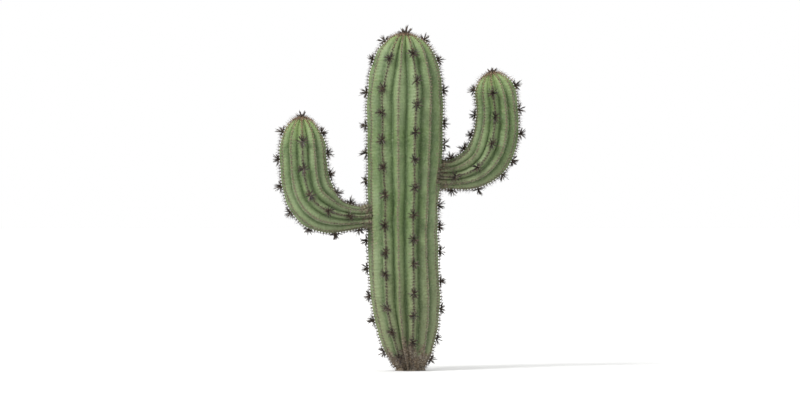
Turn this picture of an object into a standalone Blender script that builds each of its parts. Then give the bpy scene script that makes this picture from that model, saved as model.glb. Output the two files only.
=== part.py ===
"""Saguaro cactus: a ribbed trunk, two upturned arms and the tuft of young spines on each crown.

Units are metres, +Z is up and the front is -Y. The trunk stands on a flat cut at ground level, and
the origin is the middle of that cut. Each limb is a ribbed section swept along the limb's centre
line, with a girth that follows the limb's taper. The trunk's ribs stray a little sideways on the
way up, and the arms' ribs wind a little round the arm. Each arm is sawn in two above its elbow,
and its lower half is hollowed to the side of the trunk. Neighbouring solids keep a hair's gap.
"""

import math
import random
from dataclasses import dataclass

import bmesh
import bpy
from mathutils import Matrix, Vector

# Fit between neighbouring solids
HAIR_GAP = 0.0003
SAW_BLOCK = 2.4
WELD_DISTANCE = 0.00005
SHARP_ANGLE = math.radians(50.0)

# Trunk girth
TRUNK_HEIGHT = 3.20
BELLY_RADIUS = 0.363
BELLY_HEIGHT = 2.30
WAIST_RADIUS = 0.335
WAIST_HEIGHT = 1.40
DOME_START = 2.45
DOME_FULLNESS = 2.6
FOOT_TAPER_START = 0.90
FOOT_CLOSING_DEPTH = 0.045
FOOT_FULLNESS = 2.1
FOOT_RADIUS = 0.136
ROOT_FLARE = 0.012
ROOT_FLARE_HEIGHT = 0.05

# Trunk lean: it bows towards the left arm and comes part of the way back
BOW_OFFSET = -0.072
BOW_HEIGHT = 1.42
BOW_POWER = 1.2
CROWN_OFFSET = -0.049
CROWN_OFFSET_HEIGHT = 2.35

# Ribs
TRUNK_RIBS = 14
TRUNK_FRONT_CREST = math.radians(14.5)
TRUNK_RIB_DEPTH = 0.14
ARM_RIBS = 12
ARM_RIB_DEPTH = 0.17
RIB_ROUNDNESS = 1.7
POINTS_PER_RIB = 4

# Arms: both stand in one upright plane, turned a little from the front
ARM_PLANE_TURN = math.radians(12.0)
ARM_START_REACH = 0.16

# Rings along the limbs
STRAIGHT_FOOT = 0.012
FIRST_FOOT_RING = 0.03
FOOT_RINGS = 6
SHAFT_RINGS = 8
DOME_RINGS = 9
ARM_RING_SPACING = 0.085
PATH_STEPS = 400

# Crown tufts
CROWN_RADIUS = 0.032
TRUNK_TUFT_HEIGHT = 0.10
TUFT_FOOT_RADIUS = 0.026
TUFT_RIM = 0.55
TUFT_RIM_DRAW_IN = 0.25
TUFT_RIM_DROP = 0.05
TUFT_RIM_RISE = 0.20
TUFT_POINTS = 11
TUFT_SEED = 7

# Finishes: colour, roughness
TRUNK_GREEN = ((0.17, 0.23, 0.105, 1.0), 0.62)
ARM_GREEN = ((0.19, 0.26, 0.115, 1.0), 0.60)
SPINE_STRAW = ((0.50, 0.42, 0.28, 1.0), 0.85)


# How the trunk's two foremost ribs stray: the crest's bearing from the front, then its stray in
# degrees at heights in metres
RIB_COURSES = (
    (-36.9, ((0.20, 10.0), (0.67, 5.0), (1.20, 8.0), (1.63, 8.0), (2.10, 1.0), (2.60, 0.5), (3.05, 11.0))),
    (14.5, ((0.20, -6.0), (0.60, -2.5), (1.20, 2.5), (1.63, 2.5), (2.15, 0.0), (2.70, 4.0), (3.05, -2.0))),
)
COURSE_WIDTH = 0.45


@dataclass(frozen=True)
class Ring:
    """One station of a limb: its middle, how far the rib crests reach from it, and their turn."""

    middle: Vector
    radius: float
    turn: float = 0.0


@dataclass(frozen=True)
class Arc:
    """A stretch of an arm's centre line, and its heading in degrees above level at the end."""

    length: float
    heading: float


@dataclass(frozen=True)
class Twist:
    """How far an arm's ribs are turned round it at the neck and at the crown, in degrees."""

    neck: float
    crown: float
    start: float
    end: float


@dataclass(frozen=True)
class Arm:
    """An upturned arm, laid out in the upright plane that runs out from the trunk's axis."""

    name: str
    facing: float
    neck_height: float
    neck_radius: float
    elbow_radius: float
    end_radius: float
    neck_heading: float
    arcs: tuple
    growth_length: float
    growth_power: float
    slimming_start: float
    saw_distance: float
    dome_height: float
    tuft_height: float
    twist: Twist


LEFT_ARM = Arm(
    name="left_arm",
    facing=math.pi + ARM_PLANE_TURN,
    neck_height=1.494,
    neck_radius=0.103,
    elbow_radius=0.237,
    end_radius=0.222,
    neck_heading=-7.2,
    arcs=(
        Arc(0.19, -7.2),
        Arc(0.25, 7.2),
        Arc(0.22, 36.0),
        Arc(0.22, 73.8),
        Arc(0.22, 86.0),
        Arc(0.462, 89.0),
    ),
    growth_length=0.592,
    growth_power=2.04,
    slimming_start=0.70,
    saw_distance=0.80,
    dome_height=0.34,
    tuft_height=0.075,
    twist=Twist(4.0, -11.0, 0.40, 0.95),
)
RIGHT_ARM = Arm(
    name="right_arm",
    facing=ARM_PLANE_TURN,
    neck_height=1.885,
    neck_radius=0.134,
    elbow_radius=0.223,
    end_radius=0.200,
    neck_heading=-2.8,
    arcs=(
        Arc(0.22, -2.8),
        Arc(0.25, 18.8),
        Arc(0.25, 55.0),
        Arc(0.25, 83.5),
        Arc(0.25, 96.0),
        Arc(0.31, 104.0),
    ),
    growth_length=0.576,
    growth_power=1.34,
    slimming_start=0.72,
    saw_distance=0.84,
    dome_height=0.22,
    tuft_height=0.065,
    twist=Twist(9.0, -20.0, 0.20, 0.98),
)


def smooth_step(value, start, end):
    """Return a rise from 0 at start to 1 at end that is level at both."""
    part = min(max((value - start) / (end - start), 0.0), 1.0)
    return part * part * (3.0 - 2.0 * part)


def clear_scene():
    """Remove every object of the open file."""
    for item in list(bpy.data.objects):
        bpy.data.objects.remove(item, do_unlink=True)


def make_collection(name):
    """Add a collection to the scene."""
    collection = bpy.data.collections.new(name)
    bpy.context.scene.collection.children.link(collection)
    return collection


def make_material(name, finish):
    """Return a Principled material of one colour and roughness."""
    colour, roughness = finish
    material = bpy.data.materials.new(name)
    material.use_nodes = True
    shader = material.node_tree.nodes["Principled BSDF"]
    shader.inputs["Base Color"].default_value = colour
    shader.inputs["Roughness"].default_value = roughness
    shader.inputs["Metallic"].default_value = 0.0
    return material


def add_helper(name, data, helpers):
    """Put a cutter or guide in the helpers' collection, out of the finished object."""
    item = bpy.data.objects.new(name, data)
    helpers.objects.link(item)
    item.hide_render = True
    item.display_type = "WIRE"
    return item


def add_solid(name, mesh, material, collection):
    """Put a mesh in the scene as one named solid with its round sides shaded smooth."""
    mesh.name = name
    mesh.materials.clear()
    mesh.materials.append(material)
    mesh.shade_smooth()
    mesh.set_sharp_from_angle(angle=SHARP_ANGLE)
    item = bpy.data.objects.new(name, mesh)
    collection.objects.link(item)
    return item


def rib_section(name, ribs, depth, first_crest, helpers):
    """Return a closed outline of radius 1 with rounded crests and a groove between each two."""
    count = ribs * POINTS_PER_RIB
    outline = bpy.data.curves.new(name, "CURVE")
    outline.dimensions = "2D"
    spline = outline.splines.new("POLY")
    spline.points.add(count - 1)
    for index, point in enumerate(spline.points):
        turn = index / POINTS_PER_RIB
        off_crest = 2.0 * abs(turn - round(turn))
        radius = 1.0 - depth * off_crest**RIB_ROUNDNESS
        angle = first_crest + math.tau * index / count
        point.co = (radius * math.cos(angle), radius * math.sin(angle), 0.0, 1.0)
    spline.use_cyclic_u = True
    return add_helper(name, outline, helpers)


def sweep_limb(name, rings, section, helpers):
    """Sweep the section along the rings and return the limb as one closed mesh."""
    centre_line = bpy.data.curves.new(name, "CURVE")
    centre_line.dimensions = "3D"
    centre_line.twist_mode = "MINIMUM"
    centre_line.bevel_mode = "OBJECT"
    centre_line.bevel_object = section
    centre_line.use_fill_caps = True
    spline = centre_line.splines.new("POLY")
    spline.points.add(len(rings) - 1)
    for point, ring in zip(spline.points, rings):
        point.co = (*ring.middle, 1.0)
        point.radius = ring.radius
        point.tilt = ring.turn
    guide = add_helper(name + "_guide", centre_line, helpers)
    bpy.context.view_layer.update()
    evaluated = guide.evaluated_get(bpy.context.evaluated_depsgraph_get())
    mesh = bpy.data.meshes.new_from_object(evaluated)
    bpy.data.objects.remove(guide, do_unlink=True)
    shell = bmesh.new()
    shell.from_mesh(mesh)
    bmesh.ops.remove_doubles(shell, verts=shell.verts, dist=WELD_DISTANCE)
    bmesh.ops.recalc_face_normals(shell, faces=shell.faces)
    shell.to_mesh(mesh)
    shell.free()
    return mesh


def cut_away(item, cutter, label):
    """Take the cutter's shape out of a solid."""
    cut = item.modifiers.new(label, "BOOLEAN")
    cut.operation = "DIFFERENCE"
    cut.solver = "EXACT"
    cut.object = cutter


def trunk_middle(height):
    """Return the middle of the trunk at a height."""
    if height < BOW_HEIGHT:
        offset = BOW_OFFSET * math.sin(0.5 * math.pi * height / BOW_HEIGHT) ** BOW_POWER
    else:
        back = smooth_step(height, BOW_HEIGHT, CROWN_OFFSET_HEIGHT)
        offset = BOW_OFFSET + (CROWN_OFFSET - BOW_OFFSET) * back
    return Vector((offset, 0.0, height))


def trunk_radius(height):
    """Return the reach of the trunk's rib crests below the dome, drawn in towards the ground."""
    swell = smooth_step(height, WAIST_HEIGHT, BELLY_HEIGHT)
    radius = WAIST_RADIUS + (BELLY_RADIUS - WAIST_RADIUS) * swell
    if height >= FOOT_TAPER_START:
        return radius
    drop = (FOOT_TAPER_START - height) / (FOOT_TAPER_START + FOOT_CLOSING_DEPTH)
    tapered = radius * (1.0 - drop**FOOT_FULLNESS) ** (1.0 / FOOT_FULLNESS)
    flare = ROOT_FLARE * max(1.0 - height / ROOT_FLARE_HEIGHT, 0.0) ** 2
    return max(tapered, FOOT_RADIUS + flare)


def trunk_rings():
    """Return the trunk's stations from the flat ground cut to the flat of its crown."""
    rings = [Ring(Vector((0.0, 0.0, height)), trunk_radius(height)) for height in (0.0, STRAIGHT_FOOT)]
    for step in range(1, FOOT_RINGS + 1):
        turn = 0.5 * math.pi * step / FOOT_RINGS
        height = FIRST_FOOT_RING + FOOT_TAPER_START * (1.0 - math.cos(turn))
        rings.append(Ring(trunk_middle(height), trunk_radius(height)))
    shaft_start = rings[-1].middle.z
    for step in range(1, SHAFT_RINGS + 1):
        height = shaft_start + (DOME_START - shaft_start) * step / SHAFT_RINGS
        rings.append(Ring(trunk_middle(height), trunk_radius(height)))
    power = 2.0 / DOME_FULLNESS
    last_turn = math.acos((CROWN_RADIUS / BELLY_RADIUS) ** (1.0 / power))
    for step in range(1, DOME_RINGS + 1):
        turn = last_turn * step / DOME_RINGS
        height = DOME_START + (TRUNK_HEIGHT - DOME_START) * math.sin(turn) ** power
        rings.append(Ring(trunk_middle(height), BELLY_RADIUS * math.cos(turn) ** power))
    return rings


def stray_at(course, height):
    """Return a rib course's stray at a height, in degrees."""
    for (low, first), (high, second) in zip(course, course[1:]):
        if height < high:
            share = max(height - low, 0.0) / (high - low)
            return first + (second - first) * share
    return course[-1][1]


def stray_ribs(mesh):
    """Swing the trunk's skin round its middle so that its two foremost ribs take their courses."""
    for vert in mesh.vertices:
        middle = trunk_middle(vert.co.z)
        away = vert.co - middle
        bearing = math.degrees(math.atan2(away.x, -away.y))
        swing = 0.0
        for crest, course in RIB_COURSES:
            off_crest = math.radians((bearing - crest + 180.0) % 360.0 - 180.0)
            nearness = math.exp(-((off_crest / COURSE_WIDTH) ** 2))
            swing += math.radians(stray_at(course, vert.co.z)) * nearness
        vert.co = middle + Matrix.Rotation(swing, 3, "Z") @ away


def arm_heading(arm, distance):
    """Return how steeply the arm's centre line climbs at a distance along it, in radians."""
    heading = arm.neck_heading
    for arc in arm.arcs:
        if distance <= arc.length:
            return math.radians(heading + (arc.heading - heading) * distance / arc.length)
        distance -= arc.length
        heading = arc.heading
    return math.radians(heading)


def arm_direction(arm, distance):
    """Return the unit vector along the arm's centre line."""
    heading = arm_heading(arm, distance)
    level = math.cos(heading)
    return Vector((level * math.cos(arm.facing), level * math.sin(arm.facing), math.sin(heading)))


def arm_middle(arm, distance):
    """Return the point of the arm's centre line, adding up short steps along its heading."""
    step = distance / PATH_STEPS
    axis = trunk_middle(arm.neck_height)
    outward = Vector((math.cos(arm.facing), math.sin(arm.facing), 0.0))
    point = axis + outward * ARM_START_REACH
    for index in range(PATH_STEPS):
        point += arm_direction(arm, (index + 0.5) * step) * step
    return point


def dome_start(arm):
    """Return the distance along the arm at which its end begins to round off."""
    return sum(arc.length for arc in arm.arcs) - arm.dome_height


def arm_ring(arm, distance):
    """Return the arm's station: a narrow neck, a full elbow, a slighter end and its dome."""
    grown = min(max((distance - arm.arcs[0].length) / arm.growth_length, 0.0), 1.0)
    swell = math.sin(0.5 * math.pi * grown) ** arm.growth_power
    radius = arm.neck_radius + (arm.elbow_radius - arm.neck_radius) * swell
    slimming = smooth_step(distance, arm.slimming_start, dome_start(arm))
    radius -= (arm.elbow_radius - arm.end_radius) * slimming
    rise = max((distance - dome_start(arm)) / arm.dome_height, 0.0)
    radius *= math.sqrt(max(1.0 - rise * rise, 0.0))
    wound = smooth_step(distance, arm.twist.start, arm.twist.end)
    turn = arm.twist.neck + (arm.twist.crown - arm.twist.neck) * wound
    return Ring(arm_middle(arm, distance), radius, math.radians(turn))


def arm_rings(arm):
    """Return the arm's stations from inside the trunk to the flat of the arm's crown."""
    start = dome_start(arm)
    count = round(start / ARM_RING_SPACING)
    rings = [arm_ring(arm, start * step / count) for step in range(count + 1)]
    last_turn = math.acos(CROWN_RADIUS / arm.end_radius)
    for step in range(1, DOME_RINGS + 1):
        rings.append(arm_ring(arm, start + arm.dome_height * math.sin(last_turn * step / DOME_RINGS)))
    return rings


def make_trunk_cutter(trunk, helpers):
    """Return a copy of the trunk, grown by a hair's gap, that hollows the arms' inner ends."""
    cutter = add_helper("trunk_cutter", trunk.data.copy(), helpers)
    grow = cutter.modifiers.new("grow", "DISPLACE")
    grow.mid_level = 0.0
    grow.strength = HAIR_GAP
    return cutter


def make_saw_block(arm, side, helpers):
    """Return a block that fills all beyond the arm's saw cut (side 1) or all before it (-1)."""
    block = bmesh.new()
    bmesh.ops.create_cube(block, size=SAW_BLOCK)
    mesh = bpy.data.meshes.new("saw_block")
    block.to_mesh(mesh)
    block.free()
    cutter = add_helper("saw_block", mesh, helpers)
    direction = arm_direction(arm, arm.saw_distance)
    reach = side * 0.5 * (SAW_BLOCK - HAIR_GAP)
    cutter.location = arm_middle(arm, arm.saw_distance) + direction * reach
    cutter.rotation_euler = direction.to_track_quat("Z", "Y").to_euler()
    return cutter


def make_tuft(limb_name, rings, height, collection):
    """Build the uneven cone of young spines that stands on a limb's crown."""
    chance = random.Random(TUFT_SEED + len(limb_name))
    cone = bmesh.new()
    bmesh.ops.create_cone(
        cone,
        cap_ends=True,
        segments=TUFT_POINTS,
        radius1=TUFT_FOOT_RADIUS,
        radius2=TUFT_RIM * height,
        depth=TUFT_RIM * height,
        matrix=Matrix.Translation((0.0, 0.0, 0.5 * TUFT_RIM * height)),
    )
    top = max(cone.faces, key=lambda face: face.calc_center_median().z)
    for vert in top.verts:
        vert.co.xy *= chance.uniform(1.0 - TUFT_RIM_DRAW_IN, 1.0)
        vert.co.z += height * chance.uniform(-TUFT_RIM_DROP, TUFT_RIM_RISE)
    tip = bmesh.ops.poke(cone, faces=[top])["verts"][0]
    tip.co = (0.0, 0.0, height)
    name = f"{limb_name}_crown_tuft"
    mesh = bpy.data.meshes.new(name)
    cone.to_mesh(mesh)
    cone.free()
    tuft = add_solid(name, mesh, make_material(f"{name}_spines", SPINE_STRAW), collection)
    crown = rings[-1].middle
    direction = (crown - rings[-2].middle).normalized()
    tuft.location = crown + direction * HAIR_GAP
    tuft.rotation_euler = direction.to_track_quat("Z", "Y").to_euler()


def make_trunk(collection, helpers):
    """Build the trunk with its tuft, and return the trunk."""
    # The sweep runs the outline's angles the other way round, from +X
    first_crest = 0.5 * math.pi - TRUNK_FRONT_CREST
    section = rib_section("trunk_section", TRUNK_RIBS, TRUNK_RIB_DEPTH, first_crest, helpers)
    rings = trunk_rings()
    mesh = sweep_limb("trunk", rings, section, helpers)
    stray_ribs(mesh)
    trunk = add_solid("trunk", mesh, make_material("trunk_skin", TRUNK_GREEN), collection)
    make_tuft("trunk", rings, TRUNK_TUFT_HEIGHT, collection)
    return trunk


def make_arm(arm, section, trunk_cutter, collection, helpers):
    """Build one arm as a lower half seated on the trunk and an upper half with its tuft."""
    rings = arm_rings(arm)
    blank = sweep_limb(arm.name, rings, section, helpers)
    lower_name = f"{arm.name}_lower"
    lower_skin = make_material(f"{lower_name}_skin", ARM_GREEN)
    lower = add_solid(lower_name, blank.copy(), lower_skin, collection)
    cut_away(lower, make_saw_block(arm, 1, helpers), "saw in two")
    cut_away(lower, trunk_cutter, "seat on the trunk")
    upper_name = f"{arm.name}_upper"
    upper_skin = make_material(f"{upper_name}_skin", ARM_GREEN)
    upper = add_solid(upper_name, blank, upper_skin, collection)
    cut_away(upper, make_saw_block(arm, -1, helpers), "saw in two")
    make_tuft(arm.name, rings, arm.tuft_height, collection)


def main():
    """Build the cactus."""
    clear_scene()
    cactus = make_collection("saguaro_cactus")
    helpers = make_collection("helpers")
    trunk = make_trunk(cactus, helpers)
    trunk_cutter = make_trunk_cutter(trunk, helpers)
    section = rib_section("arm_section", ARM_RIBS, ARM_RIB_DEPTH, 0.0, helpers)
    for arm in (LEFT_ARM, RIGHT_ARM):
        make_arm(arm, section, trunk_cutter, cactus, helpers)


main()
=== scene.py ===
"""Saguaro cactus: ribbed skins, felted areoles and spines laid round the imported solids.

Units are metres, +Z is up and -Y is the front. The cactus stands on level ground at z = 0. Each limb
is described by its centre line, its girth and its ribs. The skin, the felt pads and the spines of a
limb are all placed from that one description, so they sit on each other seen from any side.
"""

import logging
import math
from abc import ABC, abstractmethod
from dataclasses import dataclass, field
from enum import Enum, IntEnum
from typing import ClassVar

import bpy
import numpy as np
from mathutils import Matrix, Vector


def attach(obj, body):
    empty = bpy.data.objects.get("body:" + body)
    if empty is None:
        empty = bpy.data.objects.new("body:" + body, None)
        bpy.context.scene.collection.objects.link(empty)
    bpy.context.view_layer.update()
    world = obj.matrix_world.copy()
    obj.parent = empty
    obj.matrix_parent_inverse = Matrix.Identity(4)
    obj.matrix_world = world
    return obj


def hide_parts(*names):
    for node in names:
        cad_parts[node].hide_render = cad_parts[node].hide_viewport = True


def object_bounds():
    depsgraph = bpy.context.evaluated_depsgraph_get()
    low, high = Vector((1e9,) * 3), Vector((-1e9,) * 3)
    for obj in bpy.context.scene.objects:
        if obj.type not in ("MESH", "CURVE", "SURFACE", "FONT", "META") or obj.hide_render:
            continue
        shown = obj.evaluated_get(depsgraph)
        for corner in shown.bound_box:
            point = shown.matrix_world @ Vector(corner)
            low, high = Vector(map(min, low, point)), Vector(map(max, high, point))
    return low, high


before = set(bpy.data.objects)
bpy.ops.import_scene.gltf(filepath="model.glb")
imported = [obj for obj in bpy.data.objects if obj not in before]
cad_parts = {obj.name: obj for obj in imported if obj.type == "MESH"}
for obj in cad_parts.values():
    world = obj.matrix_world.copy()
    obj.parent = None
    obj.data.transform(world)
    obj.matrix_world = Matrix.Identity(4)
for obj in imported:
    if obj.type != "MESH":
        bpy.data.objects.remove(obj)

Array = np.ndarray
Chance = np.random.Generator
Colour = tuple[float, float, float]
Range = tuple[float, float]
Offset = tuple[float, float, float]
Socket = bpy.types.NodeSocket
Paint = Socket | Colour
Values = dict[str | int, Socket | float | tuple[float, ...]]

LOG = logging.getLogger("saguaro")
BODY = "root"
CAD_LOW, CAD_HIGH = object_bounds()
UP = np.array((0.0, 0.0, 1.0))
FRONT = np.array((0.0, -1.0, 0.0))

# Spines may stand out of the solids' box by this share of its side and this length more, and their
# tips keep this far above the ground.
PROUD_SHARE = 0.026
PROUD_EXTRA = 0.008
GROUND_CLEARANCE = 0.003

# The most triangles that one piece of joined spines may have.
MOST_TRIANGLES = 190_000

# How far a star strays from an even spacing in metres, and how quickly that changes along its rib.
STAR_WOBBLE = 0.035
STAR_WOBBLE_RATE = 5.0

# Lengths below these count as nothing.
NO_LENGTH = 1e-12
NO_REST = 1e-9


def smooth_step(values: Array, start: float, end: float) -> Array:
    """Return a rise from 0 at start to 1 at end that is level at both."""
    part = np.clip((np.asarray(values, dtype=float) - start) / (end - start), 0.0, 1.0)
    return part * part * (3.0 - 2.0 * part)


def unit(vectors: Array) -> Array:
    """Return the vectors scaled to length 1."""
    return vectors / np.maximum(np.linalg.norm(vectors, axis=-1, keepdims=True), NO_LENGTH)


def running(steps: Array) -> Array:
    """Return the running total of some steps, from 0."""
    return np.concatenate(((0.0,), np.cumsum(steps)))


def swing(first: Array, second: Array, turn: Array) -> Array:
    """Return directions that have turned from the first towards the second by an angle."""
    return first * np.cos(turn)[..., None] + second * np.sin(turn)[..., None]


def circle(count: int) -> Array:
    """Return angles that are evenly spaced round a full turn."""
    return math.tau * np.arange(count) / count


class Lot(IntEnum):
    """What each kind of unevenness adds to its limb's seed, so that no two are alike."""

    LUMPS = 1
    DENTS = 2
    FURROWS = 3
    FOLDS = 5
    CORK_EDGE = 8
    SPINES = 21
    SPINE_BOWS = 22
    STARS = 31
    STAR_BOWS = 32
    PADS = 41
    TUFT = 51
    TUFT_BOWS = 52


@dataclass(frozen=True)
class WaveNoise:
    """Smooth, repeatable unevenness: many plane waves of random direction, added up."""

    seed: int
    size: float
    waves: int = 22
    spread: Range = (0.6, 1.7)

    def at(self, points: Array) -> Array:
        """Read the unevenness at some points.

        Args:
            points: Places in metres, with the coordinates on the last axis.

        Returns:
            One number for each point, mostly between -2 and 2.
        """
        chance = np.random.default_rng(self.seed)
        directions = unit(chance.normal(size=(self.waves, 3)))
        numbers = math.tau / self.size * chance.uniform(*self.spread, self.waves)
        phases = chance.uniform(0.0, math.tau, self.waves)
        total = np.zeros(points.shape[:-1])
        for direction, number, phase in zip(directions, numbers, phases):
            total += np.sin(points @ (direction * number) + phase)
        return total * math.sqrt(2.0 / self.waves)


@dataclass(frozen=True)
class Ripple:
    """A wave that winds up a limb: its height, its length in metres and its turns round the limb."""

    height: float
    length: float
    turns: float

    def at(self, along: Array, angle: Array, phase: float) -> Array:
        """Return the wave's height at distances along the limb and angles round it."""
        return self.height * np.sin(math.tau * along / self.length + self.turns * angle + phase)


class NodeBench:
    """A bench on which one material's nodes are wired together."""

    MIX_COLOURS: ClassVar[tuple[int, int]] = (6, 7)
    MIX_RESULT: ClassVar[int] = 2

    def __init__(self, name: str) -> None:
        """Start a material with only a Principled shader and an output.

        Args:
            name: The material's name.
        """
        self.material = bpy.data.materials.new(name)
        self.material.use_nodes = True
        self.tree = self.material.node_tree
        self.tree.nodes.clear()
        self.shader = self.add("BsdfPrincipled", {})
        self.add("OutputMaterial", {"Surface": self.shader.outputs["BSDF"]})
        self.place = self.add("TexCoord", {}).outputs["Object"]

    def feed(self, node: bpy.types.Node, values: Values) -> None:
        """Feed a node's inputs.

        Args:
            node: The node.
            values: Another node's output or a plain value for each input, by its name or number.
        """
        for name, value in values.items():
            if isinstance(value, bpy.types.NodeSocket):
                self.tree.links.new(value, node.inputs[name])
            else:
                node.inputs[name].default_value = value

    def add(self, kind: str, values: Values, **settings: str | bool) -> bpy.types.Node:
        """Add a node.

        Args:
            kind: The node's type, without the words that all shader nodes start with.
            values: What its inputs are fed.
            **settings: Its other settings.

        Returns:
            The node.
        """
        node = self.tree.nodes.new(f"ShaderNode{kind}")
        for name, setting in settings.items():
            setattr(node, name, setting)
        self.feed(node, values)
        return node

    def plain(self, colour: Colour, roughness: float, sheen: float = 0.5) -> None:
        """Give the shader a plain colour, roughness and strength of sheen."""
        values = {"Base Color": (*colour, 1.0), "Roughness": roughness, "Specular IOR Level": sheen}
        self.feed(self.shader, values)

    def stretched(self, stretch: float) -> Socket:
        """Return the places to read for a pattern that is drawn out upwards by a factor."""
        values = {"Vector": self.place, "Scale": (1.0, 1.0, 1.0 / stretch)}
        return self.place if stretch == 1.0 else self.add("Mapping", values).outputs["Vector"]

    def maths(self, kind: str, first: Socket | float, second: Socket | float) -> Socket:
        """Return a sum, a product or the like, held between 0 and 1."""
        return self.add("Math", {0: first, 1: second}, operation=kind, use_clamp=True).outputs["Value"]

    def span(self, value: Socket, rise: Range) -> Socket:
        """Return a share that eases from 0 at the rise's first value to 1 at its second."""
        values = {"Value": value, "From Min": rise[0], "From Max": rise[1]}
        return self.add("MapRange", values, interpolation_type="SMOOTHSTEP").outputs["Result"]

    def tint(self, under: Paint, over: Paint, share: Socket, most: float = 1.0) -> Socket:
        """Lay one colour over another.

        Args:
            under: The colour below.
            over: The colour laid on it.
            share: Where it lies, 0 to 1.
            most: How well it covers there.

        Returns:
            The mixed colour.
        """
        values = {0: share if most == 1.0 else self.maths("MULTIPLY", share, most)}
        for number, colour in zip(self.MIX_COLOURS, (under, over)):
            values[number] = (*colour, 1.0) if isinstance(colour, tuple) else colour
        return self.add("Mix", values, data_type="RGBA").outputs[self.MIX_RESULT]

    def bump(self, pattern: Socket, height: float, strength: float, under: Socket | None) -> Socket:
        """Raise the surface by a pattern.

        Args:
            pattern: The pattern.
            height: How high a full step of it stands, in metres.
            strength: How much of that shows.
            under: The bump that this one lies on, if any.

        Returns:
            The changed normal.
        """
        values = {"Strength": strength, "Distance": height, "Height": pattern}
        if under is not None:
            values["Normal"] = under
        return self.add("Bump", values).outputs["Normal"]


@dataclass(frozen=True)
class Cloud:
    """A cloudy pattern, mostly between 0.3 and 0.7.

    Scale is how many clouds there are to a metre, detail how many finer layers it has and rough how
    strong they are. Stretch draws the clouds out upwards, or sideways where it is under 1.
    """

    scale: float
    detail: float = 3.0
    rough: float = 0.55
    stretch: float = 1.0

    def wire(self, bench: NodeBench) -> Socket:
        """Return the pattern, wired on the bench."""
        values = {"Scale": self.scale, "Detail": self.detail, "Roughness": self.rough}
        return bench.add("TexNoise", {"Vector": bench.stretched(self.stretch), **values}).outputs["Fac"]


@dataclass(frozen=True)
class Warp:
    """Places that wander, for another pattern to read so that its lines aren't straight.

    Scale is how many wanderings there are to a metre, reach how far they go in metres, and flatten
    how much wider than tall the other pattern gets.
    """

    scale: float
    reach: float
    flatten: float
    detail: float = 4.0

    def wire(self, bench: NodeBench) -> Socket:
        """Wire the places.

        Args:
            bench: The bench that the material is wired on.

        Returns:
            The shifted places.
        """
        values = {"Vector": bench.place, "Scale": self.scale, "Detail": self.detail}
        cloud = bench.add("TexNoise", values).outputs["Color"]
        shifts = {0: cloud, 1: (self.reach,) * 3, 2: bench.place}
        shift = bench.add("VectorMath", shifts, operation="MULTIPLY_ADD").outputs["Vector"]
        squeeze = {0: shift, 1: (1.0, 1.0, self.flatten)}
        return bench.add("VectorMath", squeeze, operation="MULTIPLY").outputs["Vector"]


class CellPart(Enum):
    """The part of a cell that a pattern of cells measures the distance to."""

    MIDDLE = "F1"
    EDGE = "DISTANCE_TO_EDGE"


@dataclass(frozen=True)
class Cells:
    """A pattern of cells: how many there are to a metre, what it measures, and the places it reads."""

    scale: float
    part: CellPart = CellPart.MIDDLE
    places: Warp | None = None

    def wire(self, bench: NodeBench) -> Socket:
        """Return the distance to the nearest cell's middle or edge, wired on the bench."""
        values = {"Vector": self.places.wire(bench) if self.places else bench.place, "Scale": self.scale}
        return bench.add("TexVoronoi", values, feature=self.part.value).outputs["Distance"]


class Mark(Enum):
    """What a skin's mesh holds at its points, for its finish to read."""

    GROOVE = "groove"
    CROWN = "crown"
    AGE = "age"
    CORK = "cork"
    HALO = "halo"

    def wire(self, bench: NodeBench) -> Socket:
        """Return the held value, 0 to 1, wired on the bench."""
        return bench.add("Attribute", {}, attribute_name=self.value).outputs["Fac"]


@dataclass(frozen=True)
class Wash:
    """A thin coat of one colour: where its pattern lies, and how well it covers there.

    Rise gives the pattern's values where the coat starts and where it is full.
    """

    colour: Colour
    pattern: Cloud | Cells | Mark
    cover: float
    rise: Range | None = None

    def lay(self, bench: NodeBench, under: Paint) -> Socket:
        """Lay the coat.

        Args:
            bench: The bench that the material is wired on.
            under: The colour below.

        Returns:
            The mixed colour.
        """
        share = self.pattern.wire(bench)
        share = bench.span(share, self.rise) if self.rise else share
        return bench.tint(under, self.colour, share, self.cover)


@dataclass(frozen=True)
class Bump:
    """Relief too fine for the mesh: its pattern, its height in metres and how much of that shows."""

    pattern: Cloud | Cells
    height: float
    strength: float


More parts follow.
